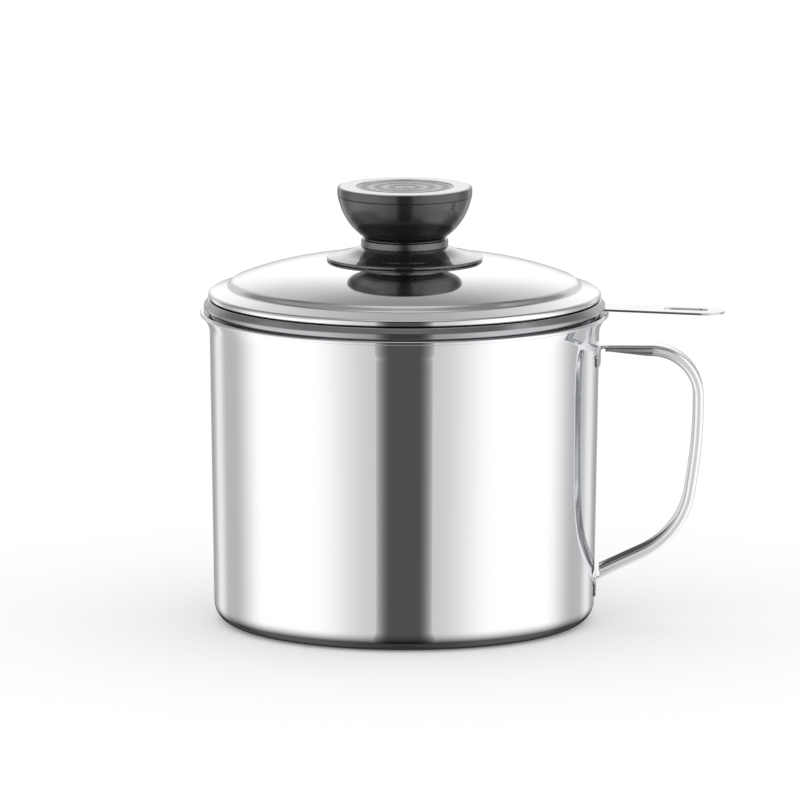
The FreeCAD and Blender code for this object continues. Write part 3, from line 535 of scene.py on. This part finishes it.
def add_foot(points, faces, low, high, half_width, slope):
    """A thin plate that lies round the pot's wall, its shoulders sloping to the strap."""
    outline = rounded_line([
        (0, low), (half_width, low, PLATE_CORNER), (half_width, high - slope, PLATE_CORNER),
        (STRAP_HALF_WIDTH, high), (0, high)])[1:-1]
    rows = []
    for point, direction in outline:
        if not rows or point.y > rows[-1][1] + 1e-4:
            rows.append((point.x, point.y))
        elif point.x > rows[-1][0]:
            rows[-1] = (point.x, point.y)
    start = len(points)
    for offset in (PLATE_GAP, PLATE_GAP + PLATE_SHEET):
        for width, height in rows:
            reach = wall_radius(height) + offset
            for k in range(PLATE_STEPS + 1):
                y = width * (2 * k / PLATE_STEPS - 1)
                points.append((math.sqrt(reach ** 2 - y ** 2), y, height))
    row = PLATE_STEPS + 1
    layer = row * len(rows)
    for i in range(len(rows) - 1):
        for k in range(PLATE_STEPS):
            a = start + i * row + k
            faces.append((a, a + 1, a + row + 1, a + row))
            faces.append((a + layer, a + row + layer, a + row + layer + 1, a + layer + 1))
    rim = list(range(row))
    rim += [i * row + PLATE_STEPS for i in range(1, len(rows))]
    rim += [(len(rows) - 1) * row + k for k in range(PLATE_STEPS - 1, -1, -1)]
    rim += [i * row for i in range(len(rows) - 2, 0, -1)]
    for i, a in enumerate(rim):
        b = rim[(i + 1) % len(rim)]
        faces.append((start + a, start + b, start + b + layer, start + a + layer))


# --- strainer ---------------------------------------------------------------------------------

STRAINER_SHEET = 0.5
STRAINER_WALL = 58.1
STRAINER_MOUTH = 59.2
STRAINER_FLOOR = 83.85
DISH_TOP = 84.25
DISH_MIDDLE = DISH_TOP - 0.2
DISH_DEPTH = 22.0
DISH_SLOPE_RUN = 24.5
DISH_MARGIN = 54.5
DISH_EDGE = 56.4
DISH_SEGMENTS = 96
WIRE_PITCH = 1.6
WIRE_RADIUS = 0.17
WIRE_REACH = 56.0
WIRE_SIDES = 5
RAY_START = 0.2


def make_strainer_rim():
    """Wall with a shoulder that nests in the flare, and a rim that slopes outwards."""
    section = sheet_section([
        (61.4, 97.15), (61.4, 97.85, 0.6), (STRAINER_MOUTH, 100.78, 0.6),
        (STRAINER_MOUTH, 93.09, 1.5), (STRAINER_WALL, 90.94, 1.5),
        (STRAINER_WALL, STRAINER_FLOOR, 0.8), (55.2, STRAINER_FLOOR)], STRAINER_SHEET)
    mesh = turned("strainer_rim_polished", section)
    # The rim's darker colour is painted shade.
    show("strainer_rim_polished", mesh, SHADED_RIM_STEEL, "strainer", "polished_steel", "strainer_rim")


def wire_tree():
    """Geometry nodes: two sets of wires, laid over and under each other on a surface."""
    tree = bpy.data.node_groups.new("woven_wire", "GeometryNodeTree")
    sockets = {}
    for name, kind in (("Surface", "NodeSocketGeometry"), ("Pitch", "NodeSocketFloat"),
                       ("Wire Radius", "NodeSocketFloat"), ("Reach", "NodeSocketFloat"),
                       ("Material", "NodeSocketMaterial")):
        sockets[name] = tree.interface.new_socket(name=name, in_out="INPUT", socket_type=kind)
    tree.interface.new_socket(name="Wires", in_out="OUTPUT", socket_type="NodeSocketGeometry")
    given = add(tree, "NodeGroupInput").outputs
    width = add(tree, "ShaderNodeMath", TIMES, in0=given["Reach"], in1=2.0)
    count = add(tree, "ShaderNodeMath", DIVIDED, in0=width, in1=given["Pitch"])
    count = add(tree, "ShaderNodeMath", ROUNDED, in0=count)
    step = add(tree, "ShaderNodeMath", DIVIDED, in0=width, in1=count)
    start = add(tree, "ShaderNodeMath", TIMES, in0=given["Reach"], in1=-1.0)
    rows = add(tree, "ShaderNodeMath", PLUS, in0=count, in1=1.0)
    row = add(tree, "GeometryNodeInputIndex")
    joined = add(tree, "GeometryNodeJoinGeometry")
    for along, aside, phase in (("X", "Y", 0.0), ("Y", "X", 1.0)):
        offset = add(tree, "ShaderNodeCombineXYZ", **{aside: step})
        first = add(tree, "ShaderNodeCombineXYZ", **{aside: start})
        line = add(tree, "GeometryNodeMeshLine", Count=rows, Start_Location=first,
                   Offset=offset)
        numbered = add(tree, "GeometryNodeStoreNamedAttribute",
                       {"data_type": "FLOAT", "domain": "POINT"}, Geometry=line,
                       Name="row", Value=row)
        low = add(tree, "ShaderNodeCombineXYZ", **{along: start})
        high = add(tree, "ShaderNodeCombineXYZ", **{along: given["Reach"]})
        wire = add(tree, "GeometryNodeCurvePrimitiveLine", {"mode": "POINTS"}, Start=low,
                   End=high)
        fine = add(tree, "GeometryNodeResampleCurve", Curve=wire, Count=rows)
        laid = add(tree, "GeometryNodeInstanceOnPoints", Points=numbered, Instance=fine)
        real = add(tree, "GeometryNodeRealizeInstances", Geometry=laid)
        place = add(tree, "GeometryNodeInputPosition")
        parts = add(tree, "ShaderNodeSeparateXYZ", Vector=place).outputs
        above = add(tree, "ShaderNodeCombineXYZ", X=parts["X"], Y=parts["Y"], Z=RAY_START)
        ray = add(tree, "GeometryNodeRaycast", Target_Geometry=given["Surface"],
                  Source_Position=above, Ray_Direction=(0.0, 0.0, -1.0), Ray_Length=1.0)
        number = add(tree, "GeometryNodeInputNamedAttribute", {"data_type": "FLOAT"},
                     Name="row")
        shifted = add(tree, "ShaderNodeMath", PLUS, in0=parts[along], in1=given["Reach"])
        cell = add(tree, "ShaderNodeMath", DIVIDED, in0=shifted, in1=step)
        cell = add(tree, "ShaderNodeMath", ROUNDED, in0=cell)
        total = add(tree, "ShaderNodeMath", PLUS, in0=cell, in1=number)
        turn = add(tree, "ShaderNodeMath", PLUS, in0=total, in1=phase)
        odd = add(tree, "ShaderNodeMath", {"operation": "FLOORED_MODULO"}, in0=turn, in1=2.0)
        side = add(tree, "ShaderNodeMath", TIMES_PLUS, in0=odd, in1=2.0, in2=-1.0)
        lift = add(tree, "ShaderNodeMath", TIMES, in0=side, in1=given["Wire Radius"])
        shift = add(tree, "ShaderNodeVectorMath", {"operation": "SCALE"},
                    in0=ray.outputs["Hit Normal"], Scale=lift)
        target = add(tree, "ShaderNodeVectorMath", PLUS, in0=ray.outputs["Hit Position"],
                     in1=shift)
        missed = add(tree, "FunctionNodeBooleanMath", {"operation": "NOT"},
                     in0=ray.outputs["Is Hit"])
        trimmed = add(tree, "GeometryNodeDeleteGeometry", {"domain": "POINT"}, Geometry=real,
                      Selection=missed)
        woven = add(tree, "GeometryNodeSetPosition", Geometry=trimmed, Position=target)
        tree.links.new(woven.outputs[0], joined.inputs[0])
    ring = add(tree, "GeometryNodeCurvePrimitiveCircle", Resolution=WIRE_SIDES,
               Radius=given["Wire Radius"])
    drawn = add(tree, "GeometryNodeCurveToMesh", Curve=joined, Profile_Curve=ring,
                Fill_Caps=True)
    smooth = add(tree, "GeometryNodeSetShadeSmooth", Geometry=drawn)
    real = add(tree, "GeometryNodeRealizeInstances", Geometry=smooth)
    coated = add(tree, "GeometryNodeSetMaterial", Geometry=real, Material=given["Material"])
    add(tree, "NodeGroupOutput", Wires=coated)
    return tree, sockets


def make_strainer_mesh():
    """Dish of plain-woven wire, its flat margin clamped under the hoop.

    The wires stand 1.6 mm apart, coarser than the real cloth, so that they show."""
    half_slope = math.atan2(DISH_DEPTH, DISH_SLOPE_RUN) / 2
    corner = DISH_MARGIN - DISH_SLOPE_RUN
    bottom = DISH_MIDDLE - DISH_DEPTH
    line = rounded_line([
        (DISH_EDGE, DISH_MIDDLE), (DISH_MARGIN, DISH_MIDDLE, 1.5),
        (corner, bottom, 25.0 / math.tan(half_slope) * 0.98), (0, bottom)])
    points, faces = [(0.0, 0.0, bottom)], []
    ring = DISH_SEGMENTS
    rows = [point for point, direction in line if point.x > 0.01]
    for radius, height in rows:
        for k in range(ring):
            angle = 2 * math.pi * k / ring
            points.append((radius * math.cos(angle), radius * math.sin(angle), height))
    for i in range(len(rows) - 1):
        for k in range(ring):
            a, b = 1 + i * ring + k, 1 + i * ring + (k + 1) % ring
            faces.append((a, a + ring, b + ring, b))
    last = 1 + (len(rows) - 1) * ring
    faces.extend((0, last + (k + 1) % ring, last + k) for k in range(ring))
    surface = bpy.data.meshes.new("dish_surface")
    surface.from_pydata([Vector(point) * MM for point in points], [], faces)
    carrier = bpy.data.objects.new("dish_surface", surface)
    scene.collection.objects.link(carrier)
    tree, sockets = wire_tree()
    weave = carrier.modifiers.new("weave", "NODES")
    weave.node_group = tree
    for name, value in (("Pitch", WIRE_PITCH * MM), ("Wire Radius", WIRE_RADIUS * MM),
                        ("Reach", WIRE_REACH * MM), ("Material", WIRE)):
        weave[sockets[name].identifier] = value
    bpy.context.view_layer.update()
    seen = carrier.evaluated_get(bpy.context.evaluated_depsgraph_get())
    mesh = bpy.data.meshes.new_from_object(seen)
    mesh.name = "strainer_mesh_woven"
    carrier.modifiers.remove(weave)
    bpy.data.objects.remove(carrier)
    show("strainer_mesh_woven", mesh, WIRE, "strainer", "steel_mesh", "strainer_mesh")


# --- lid and knob -----------------------------------------------------------------------------

LID_SHEET = 0.6
LID_BOTTOM = 99.668
LID_HEIGHT = 12.13
LID_TOP = 111.798
DOME_RISE = 6.7
DOME_RUN = 16.9
DOME_FLAT = 0.7
KNOB_SEGMENTS = 192
SHANK_BORE = 2.8
CAP_MIDDLE = 15.0
RIDGES = 12
RIDGE_STEP = 1.1
RIDGE_HEIGHTS = (22.02, 22.15)
RIDGE_BEND = 0.25
SCREW_SEGMENTS = 64
RECESS_HALF_LENGTH = 2.7
RECESS_HALF_WIDTH = 0.55
RECESS_SHRINK = 0.45


def make_lid():
    """Spun dome with a flat top for the knob, a sloping brim and a curled edge."""
    side = math.hypot(DOME_RUN, DOME_RISE) - DOME_FLAT
    side_bend = side / math.tan(math.atan2(DOME_RISE, DOME_RUN) / 2)
    section = sheet_section([
        (57.2, 0), (60.0, 0, 1.1), (60.0, 2.08, 1.1), (54.2, 3.83, 1.5), (52.9, 5.43, 2.4),
        (36.0, LID_HEIGHT, side_bend), (SHANK_BORE, LID_HEIGHT)], LID_SHEET)
    mesh = turned("lid_shell_polished", section, LID_BOTTOM)
    show("lid_shell_polished", mesh, LID_STEEL, "lid", "polished_steel", "lid_shell")


def knob_turning(name, made, slot, node, corners):
    """A turned piece of the knob in its place on the lid."""
    mesh = turned(name, solid_section(corners), LID_TOP, KNOB_SEGMENTS)
    show(name, mesh, made, "lid", slot, node)


def make_knob():
    """Flared skirt, neck ring, bowl, bezel and cap plate, one on the other.

    Their heights are measured from the lid's flat top."""
    knob_turning("knob_skirt_moulded", SKIRT_PHENOLIC, "black_phenolic", "knob_skirt", [
        (SHANK_BORE, 0), (11.0, 0), (11.0, 3.2), (13.3, 3.2), (17.5, 1.2), (23.3, 0),
        (23.9, 0, 0.15), (23.9, 0.8, 0.25), (17.5, 2.1, 20.0), (13.3, 4.1), (SHANK_BORE, 4.1)])
    knob_turning("knob_collar_turned", RING_STEEL, "polished_steel", "knob_collar", [
        (12.1, 4.1), (13.3, 4.1, 0.2), (13.3, 6.2, 0.2), (12.1, 6.2)])
    knob_turning("knob_body_moulded", PHENOLIC, "black_phenolic", "knob_body", [
        (4.25, 4.1), (11.95, 4.1), (11.95, 6.2), (12.3, 6.2, 0.2), (12.3, 6.7, 0.3),
        (18.3, 11.0, 19.0), (20.6, 19.6, 0.25), (13.0, 19.6), (13.0, 14.6, 1.0), (4.25, 14.6)])
    knob_turning("knob_bezel_moulded", PHENOLIC, "black_phenolic", "knob_bezel", [
        (16.0, 19.6), (20.6, 19.6, 0.25), (20.6, 22.2, 0.2), (20.1, 22.2, 0.1), (20.1, 21.6),
        (16.0, 21.6)])
    ridges = []
    for k in range(1, RIDGES + 1):
        ridges.append((CAP_MIDDLE - k * RIDGE_STEP, RIDGE_HEIGHTS[k % 2], RIDGE_BEND))
    knob_turning("knob_cap_plate_spun", CAP_STEEL, "polished_steel", "knob_cap_plate", [
        (0, 20.1), (15.85, 20.1), (15.85, 21.6), (20.0, 21.6), (20.0, 22.4, 0.2),
        (CAP_MIDDLE, 22.4, 0.1), (CAP_MIDDLE, 22.15, 0.1), *ridges, (0, 22.1)])


def make_screw():
    """Pan-head screw with a cross recess, seen inside the lid."""
    head = solid_section([
        (0, -4.6), (5.0, -4.6, 1.6), (5.0, -1.6), (2.5, -1.6), (2.5, 11.0), (0, 11.0)])
    mesh = turned("knob_screw_head", head, LID_TOP, SCREW_SEGMENTS)
    blank = bpy.data.objects.new("screw_blank", mesh)
    scene.collection.objects.link(blank)
    points, faces = [], []
    low, high = LID_TOP - 5.0, LID_TOP - 2.6
    for along_x in (True, False):
        start = len(points)
        for height, shrink in ((low, 1.0), (high, RECESS_SHRINK)):
            long, short = RECESS_HALF_LENGTH * shrink, RECESS_HALF_WIDTH
            half_x, half_y = (long, short) if along_x else (short, long)
            for sx, sy in ((-1, -1), (1, -1), (1, 1), (-1, 1)):
                points.append((sx * half_x, sy * half_y, height))
        for a, b, c, d in ((3, 2, 1, 0), (4, 5, 6, 7), (0, 1, 5, 4), (1, 2, 6, 5),
                           (2, 3, 7, 6), (3, 0, 4, 7)):
            faces.append((start + a, start + b, start + c, start + d))
    cutter = bpy.data.objects.new("screw_cutter", closed_mesh("screw_cutter", points, faces))
    scene.collection.objects.link(cutter)
    recess = blank.modifiers.new("recess", "BOOLEAN")
    recess.operation = "DIFFERENCE"
    recess.solver = "EXACT"
    recess.use_self = True
    recess.object = cutter
    bpy.context.view_layer.update()
    seen = blank.evaluated_get(bpy.context.evaluated_depsgraph_get())
    cut_mesh = bpy.data.meshes.new_from_object(seen)
    cut_mesh.name = "knob_screw_recessed"
    cut_mesh.shade_smooth()
    cut_mesh.set_sharp_from_angle(angle=SHARP_ANGLE)
    blank.modifiers.remove(recess)
    bpy.data.objects.remove(blank)
    bpy.data.objects.remove(cutter)
    show("knob_screw_recessed", cut_mesh, ZINC, "lid", "plated_steel", "knob_screw")


# --- studio -----------------------------------------------------------------------------------

# Upright flags in the far surroundings, as the metal mirrors them: the middle of one, half
# its width and its soft edges on the left and right, in degrees of azimuth from the
# camera's side; its darkness; and the heights in degrees between which it changes from
# one share of that darkness to another.
FAR_FLAGS = [
    ((0.0, 16.0, 42.0, 42.0), 0.42),
    ((-127.0, 4.0, 20.0, 30.0), 0.54),
    ((127.0, 4.0, 30.0, 20.0), 0.54),
    ((180.0, 17.0, 25.0, 25.0), 0.67, (-9.0, 12.0, 1.0, 0.0)),
    ((-112.0, 46.0, 20.0, 25.0), 0.42, (-5.0, 8.0, 0.0, 1.0), (28.0, 44.0, 1.0, 0.0)),
    ((130.0, 26.0, 22.0, 22.0), 0.36, (-5.0, 8.0, 0.0, 1.0), (28.0, 44.0, 1.0, 0.0)),
]
SIDE_LIGHT = (70.0, 14.0, 22.0, 22.0)

# Light by height in degrees: where it begins and ends to change, and its share there.
OVERHEAD = {"From_Min": 18.0, "From_Max": 52.0, "To_Min": 1.0, "To_Max": 0.26}
OVER_SIDE_LIGHT = {"From_Min": 40.0, "From_Max": 54.0, "To_Min": 1.0, "To_Max": 0.2}
SKYLIGHT = {"From_Min": 62.0, "From_Max": 82.0, "To_Min": 1.0, "To_Max": 2.3}
NADIR = {"From_Min": -90.0, "From_Max": -60.0, "To_Min": 0.8, "To_Max": 1.0}
# Flags end below the zenith, and those behind the object don't lean.
FLAG_TOPS = {"From_Min": 52.0, "From_Max": 74.0, "To_Min": 1.0, "To_Max": 0.0}
UPRIGHT_BEHIND = {"From_Min": 140.0, "From_Max": 170.0, "To_Min": 1.0, "To_Max": 0.0}
GLOSS_LEVEL = 1.28

CAMERA_TILT = math.radians(9.24)
CAMERA_ROLL = math.radians(0.10)
CAMERA_DISTANCE = 3.2
CAMERA_AIM = 68.06
VIEW_RUN = math.cos(CAMERA_TILT)
VIEW_RISE = math.sin(CAMERA_TILT)
WHITE = (1.0, 1.0, 1.0, 1.0)
PAPER = (0.88, 0.88, 0.88, 1.0)
PAPER_GLOW = 0.14

# The card in front, in millimetres: its dark core, its soft edge and its height, where it
# darkens and fades upwards, and how it widens from its knee down to its foot.
CARD_DISTANCE = 350.0
CARD_CORE = 44.0
CARD_SOFT_EDGE = 92.0
CARD_EDGE = 98.0
CARD_TOP = 640.0
CARD_KNEE = -60.0
CARD_FOOT = -1500.0
CARD_SPREAD = 2.95
CARD_CORE_LEVEL = 0.095
CARD_EDGE_LEVEL = 0.5
CARD_DARKENS = {"From_Min": 160.0 * MM, "From_Max": 300.0 * MM, "To_Min": 1.0, "To_Max": 0.3}
CARD_FADES = {"From_Min": 400.0 * MM, "From_Max": 620.0 * MM}

# The painted contact shadow on the floor round the pot's foot, which only reflections show.
CONTACT_SHADOW_RADIUS = 57.8
CONTACT_SHADOW_REACH = 5.0
CONTACT_SHADOW_LEVEL = 0.09
FLOOR_REACH = 30000.0


def flag_mask(tree, azimuth, low_sky, centre, half_width, left_edge, right_edge):
    """1 inside a range of azimuths, falling smoothly to 0 over its two edges and aloft."""
    away = add(tree, "ShaderNodeMath", MINUS, in0=azimuth, in1=centre)
    away = add(tree, "ShaderNodeMath", {"operation": "WRAP"}, in0=away, in1=180.0, in2=-180.0)
    left = add(tree, "ShaderNodeMapRange", SMOOTH, Value=away,
               From_Min=-half_width - left_edge, From_Max=-half_width)
    right = add(tree, "ShaderNodeMapRange", SMOOTH, Value=away, From_Min=half_width,
                From_Max=half_width + right_edge, To_Min=1.0, To_Max=0.0)
    both = add(tree, "ShaderNodeMath", TIMES, in0=left, in1=right)
    return add(tree, "ShaderNodeMath", TIMES, in0=both, in1=low_sky)


def studio_world():
    """White surroundings whose dark flags only reflections show. Below the level of the
    eye the flags lean in, so that a flare or a rounded foot mirrors them upright too."""
    world = bpy.data.worlds.new("studio")
    scene.world = world
    world.use_nodes = True
    tree = world.node_tree
    tree.nodes.clear()
    place = add(tree, "ShaderNodeTexCoord")
    ray = add(tree, "ShaderNodeSeparateXYZ", Vector=place.outputs["Generated"]).outputs
    ahead = add(tree, "ShaderNodeMath", TIMES, in0=ray["Y"], in1=-1.0)
    turn = add(tree, "ShaderNodeMath", {"operation": "ARCTAN2"}, in0=ray["X"], in1=ahead)
    azimuth = add(tree, "ShaderNodeMath", TIMES, in0=turn, in1=math.degrees(1.0))
    nearer = add(tree, "ShaderNodeMath", MINUS, in0=VIEW_RUN, in1=ray["Y"])
    lean = add(tree, "ShaderNodeMath", {"operation": "ARCTAN2"}, in0=ray["X"], in1=nearer)
    leaning = add(tree, "ShaderNodeMath", TIMES, in0=lean, in1=2 * math.degrees(1.0))
    thrown_down = add(tree, "ShaderNodeMath", {"operation": "LESS_THAN"}, in0=ray["Z"],
                      in1=-VIEW_RISE)
    bearing = add(tree, "ShaderNodeMath", {"operation": "ABSOLUTE"}, in0=azimuth)
    beside = add(tree, "ShaderNodeMapRange", SMOOTH, Value=bearing, **UPRIGHT_BEHIND)
    leans = add(tree, "ShaderNodeMath", TIMES, in0=thrown_down, in1=beside)
    azimuth = add(tree, "ShaderNodeMix", FLOAT_MIX, Factor=leans, A=azimuth, B=leaning)
    climb = add(tree, "ShaderNodeMath", {"operation": "ARCSINE"}, in0=ray["Z"])
    elevation = add(tree, "ShaderNodeMath", TIMES, in0=climb, in1=math.degrees(1.0))
    low_sky = add(tree, "ShaderNodeMapRange", SMOOTH, Value=elevation, **FLAG_TOPS)
    light = GLOSS_LEVEL
    for width, darkness, *heights in FAR_FLAGS:
        mask = flag_mask(tree, azimuth, low_sky, *width)
        for low, high, at_low, at_high in heights:
            share = add(tree, "ShaderNodeMapRange", SMOOTH, Value=elevation, From_Min=low,
                        From_Max=high, To_Min=at_low, To_Max=at_high)
            mask = add(tree, "ShaderNodeMath", TIMES, in0=mask, in1=share)
        kept = add(tree, "ShaderNodeMath", TIMES_PLUS, in0=mask, in1=-darkness, in2=1.0)
        light = add(tree, "ShaderNodeMath", TIMES, in0=light, in1=kept)
    overhead = add(tree, "ShaderNodeMapRange", SMOOTH, Value=elevation, **OVERHEAD)
    side_light = add(tree, "ShaderNodeMapRange", SMOOTH, Value=elevation, **OVER_SIDE_LIGHT)
    sideways = flag_mask(tree, azimuth, low_sky, *SIDE_LIGHT)
    above = add(tree, "ShaderNodeMix", FLOAT_MIX, Factor=sideways, A=overhead, B=side_light)
    light = add(tree, "ShaderNodeMath", TIMES, in0=light, in1=above)
    for heights in (SKYLIGHT, NADIR):
        share = add(tree, "ShaderNodeMapRange", SMOOTH, Value=elevation, **heights)
        light = add(tree, "ShaderNodeMath", TIMES, in0=light, in1=share)
    rays = add(tree, "ShaderNodeLightPath")
    level = add(tree, "ShaderNodeMix", FLOAT_MIX, Factor=rays.outputs["Is Glossy Ray"],
                A=1.0, B=light)
    shade = add(tree, "ShaderNodeBackground", Color=WHITE, Strength=level)
    add(tree, "ShaderNodeOutputWorld", Surface=shade)


def flat_piece(name, corners, made):
    """A flat four-sided part of the studio."""
    mesh = bpy.data.meshes.new(name)
    mesh.from_pydata([Vector(corner) * MM for corner in corners], [], [(0, 1, 2, 3)])
    mesh.materials.append(made)
    piece = bpy.data.objects.new(name, mesh)
    scene.collection.objects.link(piece)
    return piece


def studio_card():
    """Dark card close in front, with soft edges, wider towards its foot, that only
    reflections show."""
    made, tree = material("dark_card")
    place = add(tree, "ShaderNodeTexCoord").outputs["Object"]
    spot = add(tree, "ShaderNodeSeparateXYZ", Vector=place).outputs
    spread = add(tree, "ShaderNodeMapRange", Value=spot["Z"], From_Min=CARD_FOOT * MM,
                 From_Max=CARD_KNEE * MM, To_Min=CARD_SPREAD, To_Max=1.0)
    aside = add(tree, "ShaderNodeMath", DIVIDED, in0=spot["X"], in1=spread)
    aside = add(tree, "ShaderNodeMath", {"operation": "ABSOLUTE"}, in0=aside)
    share = add(tree, "ShaderNodeMapRange", Value=aside, From_Min=CARD_CORE * MM,
                From_Max=CARD_SOFT_EDGE * MM)
    ramp = add(tree, "ShaderNodeMath", TIMES, in0=share, in1=share)
    level = add(tree, "ShaderNodeMath", TIMES_PLUS, in0=ramp,
                in1=CARD_EDGE_LEVEL - CARD_CORE_LEVEL, in2=CARD_CORE_LEVEL)
    darker = add(tree, "ShaderNodeMapRange", SMOOTH, Value=spot["Z"], **CARD_DARKENS)
    level = add(tree, "ShaderNodeMath", TIMES, in0=level, in1=darker)
    glow = add(tree, "ShaderNodeEmission", Color=WHITE, Strength=level)
    clear = add(tree, "ShaderNodeBsdfTransparent")
    outside = add(tree, "ShaderNodeMapRange", SMOOTH, Value=aside,
                  From_Min=CARD_SOFT_EDGE * MM, From_Max=CARD_EDGE * MM)
    above = add(tree, "ShaderNodeMapRange", SMOOTH, Value=spot["Z"], **CARD_FADES)
    gone = add(tree, "ShaderNodeMath", {"operation": "MAXIMUM"}, in0=outside, in1=above)
    mixed = add(tree, "ShaderNodeMixShader", in0=gone, in1=glow, in2=clear)
    add(tree, "ShaderNodeOutputMaterial", Surface=mixed)
    wide = (CARD_EDGE + 2) * CARD_SPREAD
    card = flat_piece("front_card", [
        (-wide, -CARD_DISTANCE, CARD_FOOT), (wide, -CARD_DISTANCE, CARD_FOOT),
        (wide, -CARD_DISTANCE, CARD_TOP), (-wide, -CARD_DISTANCE, CARD_TOP)], made)
    card.visible_camera = False
    card.visible_diffuse = False
    card.visible_shadow = False
    card.visible_transmission = False
    card.visible_volume_scatter = False


def studio_floor():
    """Plain white floor that takes the object's shadow. Reflections look past it, apart
    from a painted contact shadow round the pot's foot."""
    made, tree = material("white_studio_floor")
    rays = add(tree, "ShaderNodeLightPath")
    paper = add(tree, "ShaderNodeBsdfDiffuse", Color=PAPER)
    glow = add(tree, "ShaderNodeEmission", Color=WHITE, Strength=PAPER_GLOW)
    shown = add(tree, "ShaderNodeAddShader", in0=paper, in1=glow)
    place = add(tree, "ShaderNodeTexCoord").outputs["Object"]
    radius = add(tree, "ShaderNodeVectorMath", LENGTH, in0=place)
    # Painted contact shadow: in reflections the floor darkens towards the pot's foot.
    beyond = add(tree, "ShaderNodeMath", TIMES_PLUS, in0=radius.outputs["Value"],
                 in1=-1 / (CONTACT_SHADOW_REACH * MM), in2=CONTACT_SHADOW_RADIUS / CONTACT_SHADOW_REACH)
    fade = add(tree, "ShaderNodeMath", {"operation": "EXPONENT"}, in0=beyond)
    lit = add(tree, "ShaderNodeMath", MINUS, in0=1.0, in1=fade)
    lit = add(tree, "ShaderNodeMath", {"operation": "MAXIMUM"}, in0=lit, in1=CONTACT_SHADOW_LEVEL)
    clear = add(tree, "ShaderNodeBsdfTransparent", Color=lit)
    mixed = add(tree, "ShaderNodeMixShader", in0=rays.outputs["Is Glossy Ray"],
                in1=shown, in2=clear)
    add(tree, "ShaderNodeOutputMaterial", Surface=mixed)
    far = FLOOR_REACH
    flat_piece("floor", [(-far, -far, 0), (far, -far, 0), (far, far, 0), (-far, far, 0)], made)


def studio_camera():
    """A long lens from the front, a little above the object."""
    aim = Vector((0, 0, CAMERA_AIM * MM))
    data = bpy.data.cameras.new("camera")
    data.lens = 470.25
    data.sensor_width = 36.0
    data.shift_x = -0.0055
    data.clip_end = 100.0
    camera = bpy.data.objects.new("camera", data)
    scene.collection.objects.link(camera)
    place = aim + Vector((0, -VIEW_RUN, VIEW_RISE)) * CAMERA_DISTANCE
    pitch = Matrix.Rotation(math.pi / 2 - CAMERA_TILT, 4, "X")
    roll = Matrix.Rotation(CAMERA_ROLL, 4, "Z")
    camera.matrix_world = Matrix.Translation(place) @ pitch @ roll
    scene.camera = camera


make_pot()
make_pot_handle()
make_strainer_rim()
make_strainer_mesh()
make_lid()
make_knob()
make_screw()

scene.view_settings.view_transform = "Standard"
studio_world()
studio_card()
studio_floor()
studio_camera()
